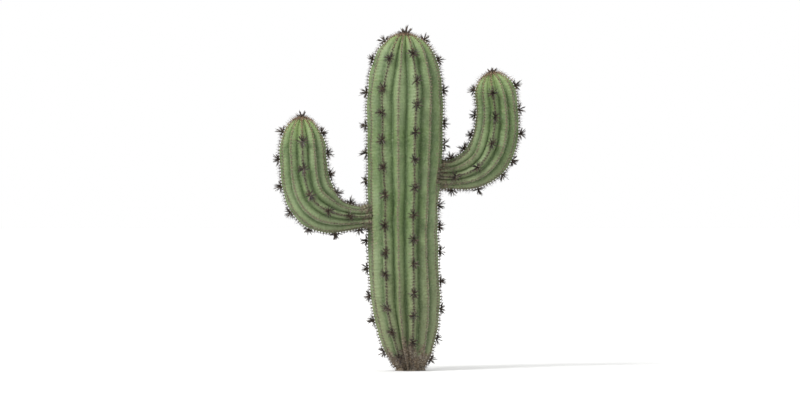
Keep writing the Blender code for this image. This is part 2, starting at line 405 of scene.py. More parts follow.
@dataclass(frozen=True)
class CorkFinish:
    """Cracked, weathered cork, which gives way to living skin along a ragged edge."""

    tan: Colour = (0.215, 0.165, 0.110)
    weather: Wash = Wash((0.290, 0.255, 0.200), Cloud(24.0, 4.0, 0.6), 1.0, (0.42, 0.62))
    crack: Colour = (0.062, 0.046, 0.032)
    plates: Cells = Cells(26.0, CellPart.EDGE, Warp(30.0, 0.060, 1.5))
    plate_crack: Range = (0.11, 0.0)
    chips: Cells = Cells(85.0, CellPart.EDGE, Warp(30.0, 0.060, 1.5))
    chip_crack: Range = (0.14, 0.0)
    chip_share: float = 0.40
    tatters: Cloud = Cloud(34.0, 5.0, 0.65)
    tatters_rise: Range = (0.3, 0.7)
    tatters_share: float = 0.45
    edge: Range = (0.50, 0.90)

    def cracks(self, bench: NodeBench) -> Socket:
        """Draw the cracks: long ones round the plates, and small ones across them.

        Args:
            bench: The bench that the material is wired on.

        Returns:
            The cracks, 1 at the bottom of one.
        """
        plates = bench.span(self.plates.wire(bench), self.plate_crack)
        chips = bench.span(self.chips.wire(bench), self.chip_crack)
        return bench.maths("ADD", plates, bench.maths("MULTIPLY", chips, self.chip_share))

    def cover(self, bench: NodeBench) -> Socket:
        """Find where the skin has turned to cork.

        Args:
            bench: The bench that the material is wired on.

        Returns:
            The cork's share, 0 to 1.
        """
        tatters = bench.span(self.tatters.wire(bench), self.tatters_rise)
        tatters = bench.maths("MULTIPLY", tatters, self.tatters_share)
        return bench.span(bench.maths("ADD", Mark.CORK.wire(bench), tatters), self.edge)


@dataclass(frozen=True)
class SkinFinish:
    """Waxy green skin with painted shade in its grooves, fresh at its crown and corky at its foot."""

    flesh: Colour = (0.104, 0.160, 0.050)
    shade: Colour = (0.048, 0.086, 0.026)
    bloom: Colour = (0.226, 0.284, 0.150)
    fresh: Colour = (0.170, 0.245, 0.062)
    crest: Colour = (0.205, 0.215, 0.110)
    aged: Colour = (0.190, 0.185, 0.110)
    scar: Colour = (0.240, 0.190, 0.125)
    cork: CorkFinish = CorkFinish()
    mottle: Cloud = Cloud(11.0, 5.0, 0.62)
    patches: Cloud = Cloud(1.9)
    wax: Cloud = Cloud(52.0, 5.0, 0.65)
    streaks: Cloud = Cloud(70.0, 2.0, 0.5, 9.0)
    grain: Cloud = Cloud(120.0, 3.0, 0.6)
    pores: Cells = Cells(300.0)
    lines: Cloud = Cloud(34.0, 4.0, 0.6, 0.12)
    scars: Cloud = Cloud(38.0, 4.0)
    dimples: Cloud = Cloud(42.0, 3.0, 0.6)
    sheen: float = 0.42
    roughness: float = 0.54
    cork_roughness: float = 0.92
    grain_roughness: float = 0.3
    crack_depth: float = 0.004
    crack_strength: float = 0.8

    def washes(self) -> tuple[Wash, ...]:
        """List the coats of colour over the flesh.

        Returns:
            The coats, the lowest first.
        """
        return (
            Wash(self.shade, self.mottle, 0.75, (0.38, 0.68)),
            Wash(self.aged, Mark.AGE, 0.55),
            Wash(self.bloom, self.patches, 0.50, (0.42, 0.68)),
            Wash(self.crest, Mark.GROOVE, 0.60, (0.34, 0.0)),
            # Painted shade: the shade colour darkens the grooves and stands in for the shade that falls in
            # them.
            Wash(self.shade, Mark.GROOVE, 0.80, (0.45, 1.0)),
            Wash(self.fresh, Mark.CROWN, 0.75),
            Wash(self.bloom, self.wax, 0.34, (0.46, 0.66)),
            Wash(self.shade, self.streaks, 0.28, (0.52, 0.72)),
            Wash(self.bloom, self.grain, 0.38, (0.50, 0.70)),
            Wash(self.bloom, self.pores, 0.42, (0.34, 0.12)),
            Wash(self.shade, self.lines, 0.30, (0.54, 0.66)),
            Wash(self.scar, Mark.HALO, 0.45),
            Wash(self.scar, self.scars, 0.75, (0.655, 0.69)),
            Wash(self.cork.crack, self.scars, 0.60, (0.70, 0.73)),
        )

    def bumps(self) -> tuple[Bump, ...]:
        """List the fine relief of the living skin.

        Returns:
            The bumps, the lowest first.
        """
        return (
            Bump(self.dimples, 0.004, 0.30),
            Bump(self.lines, 0.003, 0.35),
            Bump(self.grain, 0.0018, 0.50),
            Bump(self.pores, 0.0010, 0.40),
        )

    def material(self, name: str) -> bpy.types.Material:
        """Wire the skin's material.

        Args:
            name: The material's name.

        Returns:
            The finished material.
        """
        bench = NodeBench(name)
        colour = self.flesh
        for wash in self.washes():
            colour = wash.lay(bench, colour)
        cracks = self.cork.cracks(bench)
        corked = self.cork.cover(bench)
        bark = bench.tint(self.cork.weather.lay(bench, self.cork.tan), self.cork.crack, cracks)
        rough = bench.maths("MULTIPLY", self.grain.wire(bench), self.grain_roughness)
        dull = bench.maths("ADD", corked, rough)
        ends = {"Value": dull, "To Min": self.roughness, "To Max": self.cork_roughness}
        normal = None
        for bump in self.bumps():
            normal = bench.bump(bump.pattern.wire(bench), bump.height, bump.strength, normal)
        whole = bench.maths("SUBTRACT", 1.0, bench.maths("MULTIPLY", cracks, corked))
        bench.feed(bench.shader, {
            "Base Color": bench.tint(colour, bark, corked),
            "Roughness": bench.add("MapRange", ends).outputs["Result"],
            "Specular IOR Level": self.sheen,
            "Normal": bench.bump(whole, self.crack_depth, self.crack_strength, normal),
        })
        return bench.material


class Tone(Enum):
    """The plain colours and roughness that spines, felt and wool come in."""

    CHARRED = ((0.020, 0.015, 0.012), 0.50)
    BROWN = ((0.080, 0.050, 0.033), 0.55)
    GREY = ((0.250, 0.220, 0.180), 0.65)
    STRAW = ((0.430, 0.330, 0.190), 0.60)
    RUST = ((0.230, 0.100, 0.048), 0.55)
    FELT = ((0.150, 0.118, 0.082), 0.95)
    WOOL = ((0.480, 0.400, 0.270), 0.95)

    def material(self) -> bpy.types.Material:
        """Look up this tone's material, or make it.

        Returns:
            The material.
        """
        name = f"{self.name.lower()}_tone"
        if name in bpy.data.materials:
            return bpy.data.materials[name]
        bench = NodeBench(name)
        bench.plain(*self.value)
        return bench.material


TONES = list(Tone)


class Palette(Enum):
    """The tones that a part of a spine comes in, and how often each of them comes up."""

    OLD_SHAFT = {Tone.GREY: 6.0, Tone.BROWN: 3.0, Tone.STRAW: 1.5}
    STRONG_SHAFT = {Tone.CHARRED: 5.0, Tone.BROWN: 5.0, Tone.GREY: 1.0}
    YOUNG_SHAFT = {Tone.STRAW: 6.0, Tone.RUST: 3.0, Tone.BROWN: 1.0}
    POINT = {Tone.CHARRED: 5.0, Tone.BROWN: 5.0}
    STAR_SHAFT = {Tone.CHARRED: 6.0, Tone.BROWN: 4.0, Tone.GREY: 0.6}
    STAR_POINT = {Tone.CHARRED: 8.0, Tone.BROWN: 2.0}
    TUFT_SHAFT = {Tone.BROWN: 4.0, Tone.RUST: 1.0, Tone.CHARRED: 7.0}
    TUFT_POINT = {Tone.CHARRED: 7.0, Tone.BROWN: 3.0}

    def draw(self, chance: Chance, count: int) -> Array:
        """Draw tones by lot.

        Args:
            chance: The source of the lots.
            count: How many are drawn.

        Returns:
            The tones' numbers in TONES.
        """
        weights = np.array(list(self.value.values()))
        numbers = [TONES.index(tone) for tone in self.value]
        return chance.choice(numbers, size=count, p=weights / weights.sum())


@dataclass
class MeshParts:
    """Points and faces gathered as arrays, ready to become one mesh.

    Corners holds the faces' corners in one run, and counts how many each face has.
    """

    points: Array
    corners: Array
    counts: Array
    tones: Array | None = None

    @classmethod
    def repeated(cls, faces: list[tuple[int, ...]], points: Array, tones: Array) -> "MeshParts":
        """Repeat one small shape.

        Args:
            faces: The corners of its faces.
            points: Each copy's points, one copy to a row.
            tones: Each copy's face tones, one copy to a row.

        Returns:
            The joined faces, in the copies' order.
        """
        flat = np.array([corner for face in faces for corner in face])
        corners = (np.arange(len(points))[:, None] * points.shape[1] + flat).ravel()
        counts = np.tile(np.array([len(face) for face in faces]), len(points))
        return cls(points.reshape(-1, 3), corners, counts, tones.ravel())

    def triangles(self) -> int:
        """Return how many triangles the faces make."""
        return int((self.counts - 2).sum())

    def piece(self, name: str, materials: list[bpy.types.Material]) -> bpy.types.Object:
        """Make the mesh object.

        Args:
            name: The piece's name.
            materials: Its materials, in the order that the face tones count them.

        Returns:
            The new object, linked to the scene and riding on the plant's body.
        """
        mesh = bpy.data.meshes.new(name)
        mesh.vertices.add(len(self.points))
        mesh.vertices.foreach_set("co", self.points.astype(np.float32).ravel())
        mesh.loops.add(len(self.corners))
        mesh.loops.foreach_set("vertex_index", self.corners.astype(np.int32))
        mesh.polygons.add(len(self.counts))
        starts = np.concatenate(((0,), np.cumsum(self.counts)[:-1]))
        mesh.polygons.foreach_set("loop_start", starts.astype(np.int32))
        for material in materials:
            mesh.materials.append(material)
        if self.tones is not None:
            mesh.polygons.foreach_set("material_index", self.tones.astype(np.int32))
        mesh.update(calc_edges=True)
        mesh.shade_smooth()
        item = bpy.data.objects.new(name, mesh)
        bpy.context.scene.collection.objects.link(item)
        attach(item, BODY)
        LOG.info("%s: %d triangles", name, self.triangles())
        return item


def ring_points(count: int) -> Array:
    """Return points that are evenly spaced round a circle of radius 1."""
    return np.stack((np.cos(circle(count)), np.sin(circle(count))), axis=-1)


def pointed_tube(sides: int, rings: int) -> list[tuple[int, ...]]:
    """Join rings of points up into a tube that ends in a point.

    Args:
        sides: How many points each ring has.
        rings: How many rings there are before the point.

    Returns:
        The faces' corners, with those at the point last.
    """
    beside = [(side + 1) % sides for side in range(sides)]
    faces = []
    for low in range(0, (rings - 1) * sides, sides):
        high = low + sides
        faces += [(low + a, low + b, high + b, high + a) for a, b in enumerate(beside)]
    low = (rings - 1) * sides
    faces += [(low + a, low + b, low + sides) for a, b in enumerate(beside)]
    return faces


@dataclass(frozen=True)
class Track:
    """Close stations along a limb, from its foot to its tip.

    Each has its distance along the middle, its place, the way to the outer side of the limb's bend,
    and the reach of the rib crests.
    """

    distance: Array
    middle: Array
    outer: Array
    radius: Array

    def lengths(self) -> Array:
        """Return each station's distance from the foot, measured along the skin."""
        return running(np.hypot(np.diff(self.distance), np.diff(self.radius)))


@dataclass(frozen=True)
class SkinRelief:
    """The fine relief of a skin.

    Heights and sizes are in metres. Reaches are shares of the way from a rib's crest to its groove.
    """

    swelling: float = 0.0032
    swelling_reach: float = 0.30
    swelling_lean: float = 0.3
    pleat: float = 0.0050
    pleat_reach: float = 0.10
    fold: float = 0.0009
    fold_spacing: float = 0.021
    fold_stray: float = 0.35
    fold_stray_size: float = 0.09
    fold_reach: Range = (0.35, 0.9)
    lump: float = 0.0026
    lump_size: float = 0.32
    dent: float = 0.0009
    dent_size: float = 0.045
    cork_rise: float = 0.0030
    furrow: float = 0.0055
    furrow_size: float = 0.034
    furrow_stretch: float = 0.55
    furrow_most: float = 1.3
    full_girth: float = 0.06

    def height(self, limb: "Limb", along: Array, angle: Array, points: Array) -> Array:
        """Add up the swellings under the areoles, the pleats, the folds and the cork.

        Args:
            limb: The limb that the skin is on.
            along: Distances from the foot, along the skin.
            angle: Angles round the limb.
            points: The ribbed surface there.

        Returns:
            How far it stands out, in metres.
        """
        rib, off_crest = limb.rib_place(angle)
        phase = math.tau * limb.phase(along, rib)
        crest = np.exp(-((off_crest / self.swelling_reach) ** 2))
        swelling = np.cos(phase) + self.swelling_lean * np.sin(2.0 * phase)
        pleat = np.exp(-(((1.0 - off_crest) / self.pleat_reach) ** 2))
        height = self.swelling * crest * swelling - self.pleat * pleat
        stray = self.fold_stray * limb.noise(Lot.FOLDS, self.fold_stray_size, points)
        folds = np.sin(math.tau * (along / self.fold_spacing + stray))
        height += self.fold * folds * smooth_step(off_crest, *self.fold_reach)
        height += self.lump * limb.noise(Lot.LUMPS, self.lump_size, points)
        height += self.dent * limb.noise(Lot.DENTS, self.dent_size, points)
        drawn = points * np.array((1.0, 1.0, self.furrow_stretch))
        ridges = np.minimum(np.abs(limb.noise(Lot.FURROWS, self.furrow_size, drawn)), self.furrow_most)
        height += limb.corkiness(points) * (self.cork_rise - self.furrow * ridges)
        return height * smooth_step(limb.read(limb.track.radius, along), 0.0, self.full_girth)


@dataclass(kw_only=True)
class Limb(ABC):
    """A ribbed limb: what its skin, its areoles and its spines are placed from.

    Angles round the limb start at its side, which is level and square to the limb's plane, and run
    towards the outer side of its bend. Star rows name the ribs that bear stars of long spines, and
    give the way down the crest from the tip to each star.
    """

    # The tip's direction is taken over the last stations, and the skin faces that way near the tip.
    TIP_STATIONS: ClassVar[int] = 60
    TIP_REACH: ClassVar[float] = 0.012

    # The steps up and round the limb that a facing is worked out over.
    FACING_STEP: ClassVar[float] = 0.003
    FACING_TURN: ClassVar[float] = 0.02

    # How closely a row is measured, and every how many stations the girth is tested.
    ROW_STATIONS: ClassVar[int] = 900
    HOLD_STRIDE: ClassVar[int] = 12

    name: str
    ribs: int
    rib_depth: float
    first_crest: float
    facing: float
    star_rows: dict[int, tuple[float, ...]]
    seed: int
    crest_rounding: float = 0.35
    slow_sway: Ripple = Ripple(0.011, 1.10, 2.0)
    quick_sway: Ripple = Ripple(0.006, 0.41, -3.0)
    depth_change: Ripple = Ripple(0.09, 0.83, 3.0)
    relief: SkinRelief = SkinRelief()
    areole_spacing: float = 0.029
    crown_spacing: float = 0.011
    crown_reach: Range = (0.02, 0.17)
    row_start: Range = (0.2, 0.8)
    row_jitter: float = 0.10
    track: Track = field(init=False)
    lengths: Array = field(init=False)
    rows: list[Array] = field(init=False, default_factory=list)
    tip_ways: list[Array] = field(init=False, default_factory=list)

    def __post_init__(self) -> None:
        """Lay out the stations and the rows of areoles."""
        self.track = self.lay_out()
        self.lengths = self.track.lengths()
        for rib in range(self.ribs):
            self.set_row(rib)

    @abstractmethod
    def lay_out(self) -> Track:
        """Return the limb's stations."""

    @abstractmethod
    def corkiness(self, points: Array) -> Array:
        """Return how corky the skin is at some points, 0 to 1."""

    @property
    def outward(self) -> Array:
        """The level direction that the limb's plane runs out in."""
        return np.array((math.cos(self.facing), math.sin(self.facing), 0.0))

    @property
    def side(self) -> Array:
        """The level direction square to the limb's plane, where its angles start."""
        return np.cross(self.outward, UP)

    @property
    def length(self) -> float:
        """The limb's length, measured along the skin."""
        return float(self.lengths[-1])

    def lots(self, lot: Lot) -> Chance:
        """Return the limb's own source of one kind of lots."""
        return np.random.default_rng(self.seed + lot)

    def noise(self, lot: Lot, size: float, points: Array) -> Array:
        """Return one of the limb's own kinds of unevenness at some points."""
        return WaveNoise(self.seed + lot, size).at(points)

    def read(self, values: Array, along: Array) -> Array:
        """Read what the stations hold at any distance.

        Args:
            values: One number or one vector for each station.
            along: Distances from the foot, measured along the skin.

        Returns:
            The values there.
        """
        along = np.clip(along, 0.0, self.length)
        if values.ndim == 1:
            return np.interp(along, self.lengths, values)
        return np.stack([np.interp(along, self.lengths, part) for part in values.T], axis=-1)

    def rib_place(self, angle: Array) -> tuple[Array, Array]:
        """Return the ribs that angles are on, and how far off the crest: 0 on it, 1 in the groove."""
        turns = (angle - self.first_crest) * self.ribs / math.tau
        return np.mod(np.round(turns), self.ribs).astype(int), 2.0 * np.abs(turns - np.round(turns))

    def crest_angles(self, rib: Array) -> Array:
        """Return the angles of some ribs' crests."""
        return self.first_crest + math.tau * rib / self.ribs

    def wander(self, along: Array, angle: Array) -> Array:
        """Return how far the ribs stray sideways from straight, as an angle."""
        slow = self.slow_sway.at(along, angle, self.seed)
        return slow + self.quick_sway.at(along, angle, 2.0 * self.seed)

    def depth(self, along: Array, angle: Array) -> Array:
        """Return the grooves' depth as a share of the girth."""
        return self.rib_depth * (1.0 + self.depth_change.at(along, angle, self.seed))

    def shape(self, along: Array, angle: Array) -> Array:
        """Work out the ribbed surface without its fine relief.

        Args:
            along: Distances from the foot, along the skin.
            angle: Angles round the limb, of the same shape.

        Returns:
            The points, with the coordinates on a last axis.
        """
        middle = self.read(self.track.middle, along)
        outer = self.read(self.track.outer, along)
        radius = self.read(self.track.radius, along)
        rounding = self.crest_rounding
        off_crest = self.rib_place(angle)[1]
        drop = (np.hypot(off_crest, rounding) - rounding) / (math.hypot(1.0, rounding) - rounding)
        reach = radius * (1.0 - self.depth(along, angle) * drop)
        swung = angle + self.wander(along, angle)
        return middle + swing(self.side, outer, swung) * reach[..., None]

    def normals(self, along: Array, angle: Array) -> Array:
        """Work out which way the ribbed surface faces.

        Args:
            along: Distances from the foot, along the skin.
            angle: Angles round the limb, of the same shape.

        Returns:
            Directions of length 1.
        """
        low = np.clip(along - self.FACING_STEP, 0.0, self.length)
        high = np.clip(along + self.FACING_STEP, 0.0, self.length)
        climb = self.shape(high, angle) - self.shape(low, angle)
        left = self.shape(along, angle - self.FACING_TURN)
        round_step = self.shape(along, angle + self.FACING_TURN) - left
        facing = np.cross(round_step, climb)
        facing[self.length - along < self.TIP_REACH] = self.tip_direction()
        return unit(facing)

    def tip_direction(self) -> Array:
        """Return the direction that the limb's tip points in."""
        return unit(self.track.middle[-1] - self.track.middle[-self.TIP_STATIONS])

    def set_row(self, rib: int) -> None:
        """Space one rib's areoles along its crest, crowded together at the crown.

        Args:
            rib: The rib's number.
        """
        chance = np.random.default_rng(self.seed * 100 + rib)
        along = np.linspace(0.0, self.length, self.ROW_STATIONS)
        crest = self.shape(along, np.full_like(along, self.crest_angles(rib)))
        steps = np.linalg.norm(np.diff(crest, axis=0), axis=1)
        from_tip = np.concatenate((np.cumsum(steps[::-1])[::-1], (0.0,)))
        opened = smooth_step(from_tip, *self.crown_reach)
        spacing = self.crown_spacing + (self.areole_spacing - self.crown_spacing) * opened
        passed = running(steps / spacing[:-1])
        count = int(passed[-1])
        start = chance.uniform(*self.row_start)
        marks = np.arange(count) + start + chance.uniform(-self.row_jitter, self.row_jitter, count)
        self.rows.append(np.interp(marks, passed, along))
        self.tip_ways.append(np.interp(marks, passed, from_tip))

    def phase(self, along: Array, rib: Array) -> Array:
        """Work out where places lie in their row of areoles.

        Args:
            along: Distances from the foot, along the skin.
            rib: The ribs that they are on.

        Returns:
            Numbers that are whole on the areoles.
        """
        result = np.zeros(along.shape)
        for index, row in enumerate(self.rows):
            here = rib == index
            result[here] = np.interp(along[here], row, np.arange(len(row)))
        return result

    def surface(self, along: Array, angle: Array) -> tuple[Array, Array]:
        """Work out the finished skin.

        Args:
            along: Distances from the foot, along the skin.
            angle: Angles round the limb, of the same shape.

        Returns:
            The points, and the directions that face out of the skin there.
        """
        points = self.shape(along, angle)
        facing = self.normals(along, angle)
        return points + facing * self.relief.height(self, along, angle, points)[..., None], facing

    def holds(self, points: Array, margin: float) -> Array:
        """Find the points that lie inside the limb, or near it.

        Args:
            points: Places in metres.
            margin: How near counts as inside.

        Returns:
            True for each point that does.
        """
        inside = np.zeros(len(points), dtype=bool)
        sparse = slice(None, None, self.HOLD_STRIDE)
        for middle, radius in zip(self.track.middle[sparse], self.track.radius[sparse]):
            inside |= np.linalg.norm(points - middle, axis=1) < radius + margin
        return inside


@dataclass(frozen=True)
class RibCourse:
    """How a rib strays from straight: its crest's bearing, and its stray at some heights.

    Bearing and strays are in degrees and heights in metres. The ribs beside it follow in part.
    """

    bearing: float
    strays: tuple[tuple[float, float], ...]
    width: float = 0.45

    def turn(self, height: Array, angle: Array) -> Array:
        """Work out how far this course swings the skin.

        Args:
            height: Heights above the ground.
            angle: Angles round the trunk.

        Returns:
            The swing, as an angle.
        """
        heights, strays = np.array(self.strays).T
        away = np.mod(angle - math.radians(self.bearing) + math.pi, math.tau) - math.pi
        return np.radians(np.interp(height, heights, strays)) * np.exp(-((away / self.width) ** 2))


@dataclass(kw_only=True)
class Trunk(Limb):
    """The trunk, with its bow, its drawn-in foot and its rounded crown."""

    SHAFT_STATIONS: ClassVar[int] = 1200
    DOME_STATIONS: ClassVar[int] = 500
    NUDGE: ClassVar[float] = 0.002

    height: float = 3.20
    belly_radius: float = 0.363
    belly_height: float = 2.30
    waist_radius: float = 0.335
    waist_height: float = 1.40
    dome_start: float = 2.45
    dome_fullness: float = 2.6
    foot_taper_start: float = 0.90
    foot_closing_depth: float = 0.045
    foot_fullness: float = 2.1
    foot_radius: float = 0.136
    foot_level_height: float = 0.06
    root_flare: float = 0.012
    root_flare_height: float = 0.05
    bow_offset: float = -0.072
    bow_height: float = 1.42
    bow_power: float = 1.2
    crown_offset: float = -0.049
    crown_offset_height: float = 2.35
    foot_groove_share: float = 0.62
    groove_rise: Range = (0.02, 0.40)
    cork_height: float = 0.46
    cork_mean: float = 0.72
    cork_tongues: float = 0.16
    cork_tongue_size: float = 0.30
    cork_fade: float = 0.25
    courses: tuple[RibCourse, ...]

    def middle_offset(self, height: Array) -> Array:
        """Work out how far the trunk's middle leans along X.

        Args:
            height: Heights above the ground.

        Returns:
            The lean in metres.
        """
        rise = np.sin(0.5 * math.pi * np.clip(height / self.bow_height, 0.0, 1.0))
        back = smooth_step(height, self.bow_height, self.crown_offset_height)
        return self.bow_offset * rise**self.bow_power + (self.crown_offset - self.bow_offset) * back

    def shaft_radius(self, height: Array) -> Array:
        """Work out the reach of the rib crests below the dome.

        Args:
            height: Heights above the ground.

        Returns:
            The radii in metres.
        """
        swell = smooth_step(height, self.waist_height, self.belly_height)
        radius = self.waist_radius + (self.belly_radius - self.waist_radius) * swell
        drop = (self.foot_taper_start - height) / (self.foot_taper_start + self.foot_closing_depth)
        drop = np.clip(drop, 0.0, 1.0)
        tapered = radius * (1.0 - drop**self.foot_fullness) ** (1.0 / self.foot_fullness)
        flare = self.root_flare * np.clip(1.0 - height / self.root_flare_height, 0.0, 1.0) ** 2
        return np.maximum(tapered, self.foot_radius + flare)

    def lay_out(self) -> Track:
        """Set out the trunk's stations.

        Returns:
            The stations.
        """
        shaft = np.linspace(0.0, self.dome_start, self.SHAFT_STATIONS, endpoint=False)
        turn = np.linspace(0.0, 0.5 * math.pi, self.DOME_STATIONS)
        power = 2.0 / self.dome_fullness
        dome = self.dome_start + (self.height - self.dome_start) * np.sin(turn) ** power
        height = np.concatenate((shaft, dome))
        cap = self.belly_radius * np.clip(np.cos(turn), 0.0, 1.0) ** power
        radius = np.concatenate((self.shaft_radius(shaft), cap))
        middle = np.stack((self.middle_offset(height), np.zeros_like(height), height), axis=-1)
        rise = self.middle_offset(height + self.NUDGE) - self.middle_offset(height - self.NUDGE)
        slope = rise / (2.0 * self.NUDGE)
        slope *= smooth_step(height, 0.0, self.foot_level_height)
        outer = unit(np.stack((np.ones_like(slope), np.zeros_like(slope), -slope), axis=-1))
        return Track(height, middle, outer, radius)

    def wander(self, along: Array, angle: Array) -> Array:
        """Return the ribs' stray with the courses of the trunk's own ribs."""
        height = self.read(self.track.distance, along)
        return super().wander(along, angle) + sum(course.turn(height, angle) for course in self.courses)

    def corkiness(self, points: Array) -> Array:
        """Work out the cork that climbs from the ground, in tongues.

        Args:
            points: Places on the skin.

        Returns:
            How corky it is there, 0 to 1.
        """
        tongues = self.cork_tongues * self.noise(Lot.CORK_EDGE, self.cork_tongue_size, points)
        edge = self.cork_height * (self.cork_mean + tongues)
        return 1.0 - smooth_step(points[..., 2] / edge, self.cork_fade, 1.0)

    def depth(self, along: Array, angle: Array) -> Array:
        """Return the grooves' depth, which fills in towards the ground."""
        opened = (1.0 - self.foot_groove_share) * smooth_step(along, *self.groove_rise)
        return super().depth(along, angle) * (self.foot_groove_share + opened)


@dataclass(frozen=True)
class Twist:
    """How far an arm's ribs are turned round it at the neck and at the crown, in degrees.

    The turn changes from one to the other between two distances along the arm.
    """

    neck: float
    crown: float
    start: float
    end: float

    def turn(self, distance: Array) -> Array:
        """Return the ribs' turn at distances along the arm, as an angle."""
        wound = smooth_step(distance, self.start, self.end)
        return np.radians(self.neck + (self.crown - self.neck) * wound)


@dataclass(kw_only=True)
class Arm(Limb):
    """An upturned arm, which leaves the trunk by a narrow neck.

    Its middle is a chain of arcs, each with its length and with its heading at its far end, in
    degrees above level.
    """

    MIDDLE_STATIONS: ClassVar[int] = 4000
    SHAFT_STATIONS: ClassVar[int] = 700
    DOME_STATIONS: ClassVar[int] = 400

    ribs: int = 12
    rib_depth: float = 0.185
    first_crest: float = 0.0
    neck_height: float
    neck_radius: float
    elbow_radius: float
    end_radius: float
    neck_heading: float
    arcs: tuple[tuple[float, float], ...]
    growth_length: float
    growth_power: float
    slimming_start: float
    dome_height: float
    axis_offset: float
    twist: Twist
    start_reach: float = 0.16
    skin_start: float = 0.10
    collar_rise: float = 0.014
    collar_spread: float = 0.035
    cork_reach: Range = (0.05, 0.12)
    cork_most: float = 0.50
    cork_tongues: float = 0.018
    cork_tongue_size: float = 0.09

    def lay_out(self) -> Track:
        """Set out the arm's stations, from just inside the trunk.

        Returns:
            The stations.
        """
        joins = running(np.array([length for length, _ in self.arcs]))
        headings = np.array([self.neck_heading] + [heading for _, heading in self.arcs])
        fine = np.linspace(0.0, joins[-1], self.MIDDLE_STATIONS)
        heading = np.radians(np.interp(fine, joins, headings))
        step = fine[1] - fine[0]
        reach = self.start_reach + running(np.cos(heading[1:]) * step)
        climb = self.neck_height + running(np.sin(heading[1:]) * step)
        dome_start = joins[-1] - self.dome_height
        turn = np.linspace(0.0, 0.5 * math.pi, self.DOME_STATIONS)
        shaft = np.linspace(self.skin_start, dome_start, self.SHAFT_STATIONS, endpoint=False)
        distance = np.concatenate((shaft, dome_start + self.dome_height * np.sin(turn)))
        heading = np.interp(distance, fine, heading)
        middle = self.outward * np.interp(distance, fine, reach)[:, None]
        middle += UP * np.interp(distance, fine, climb)[:, None]
        middle[:, 0] += self.axis_offset
        outer = swing(-UP, self.outward, heading)
        return Track(distance, middle, outer, self.girth(distance, dome_start))

    def girth(self, distance: Array, dome_start: float) -> Array:
        """Work out the reach of the rib crests along the arm.

        Args:
            distance: Distances along the arm's middle.
            dome_start: Where the crown's dome starts.

        Returns:
            The radii in metres.
        """
        neck_length = self.arcs[0][0]
        grown = np.clip((distance - neck_length) / self.growth_length, 0.0, 1.0)
        swell = np.sin(0.5 * math.pi * grown) ** self.growth_power
        radius = self.neck_radius + (self.elbow_radius - self.neck_radius) * swell
        slimming = smooth_step(distance, self.slimming_start, dome_start)
        radius -= (self.elbow_radius - self.end_radius) * slimming
        rise = np.clip((distance - dome_start) / self.dome_height, 0.0, 1.0)
        collar = (distance - neck_length) / self.collar_spread
        return radius * np.sqrt(1.0 - rise * rise) + self.collar_rise * np.exp(-(collar**2))

    def wander(self, along: Array, angle: Array) -> Array:
        """Return the ribs' stray with the arm's twist."""
        distance = self.read(self.track.distance, along)
        return super().wander(along, angle) + self.twist.turn(distance)

    def corkiness(self, points: Array) -> Array:
        """Work out the thin cork round the neck.

        Args:
            points: Places on the skin.

        Returns:
            How corky it is there, 0 to 1.
        """
        away = np.linalg.norm(points - self.track.middle[0], axis=-1)
        tongues = self.cork_tongues * self.noise(Lot.CORK_EDGE, self.cork_tongue_size, points)
        away = away + tongues - self.neck_radius
        return self.cork_most * (1.0 - smooth_step(away, *self.cork_reach))


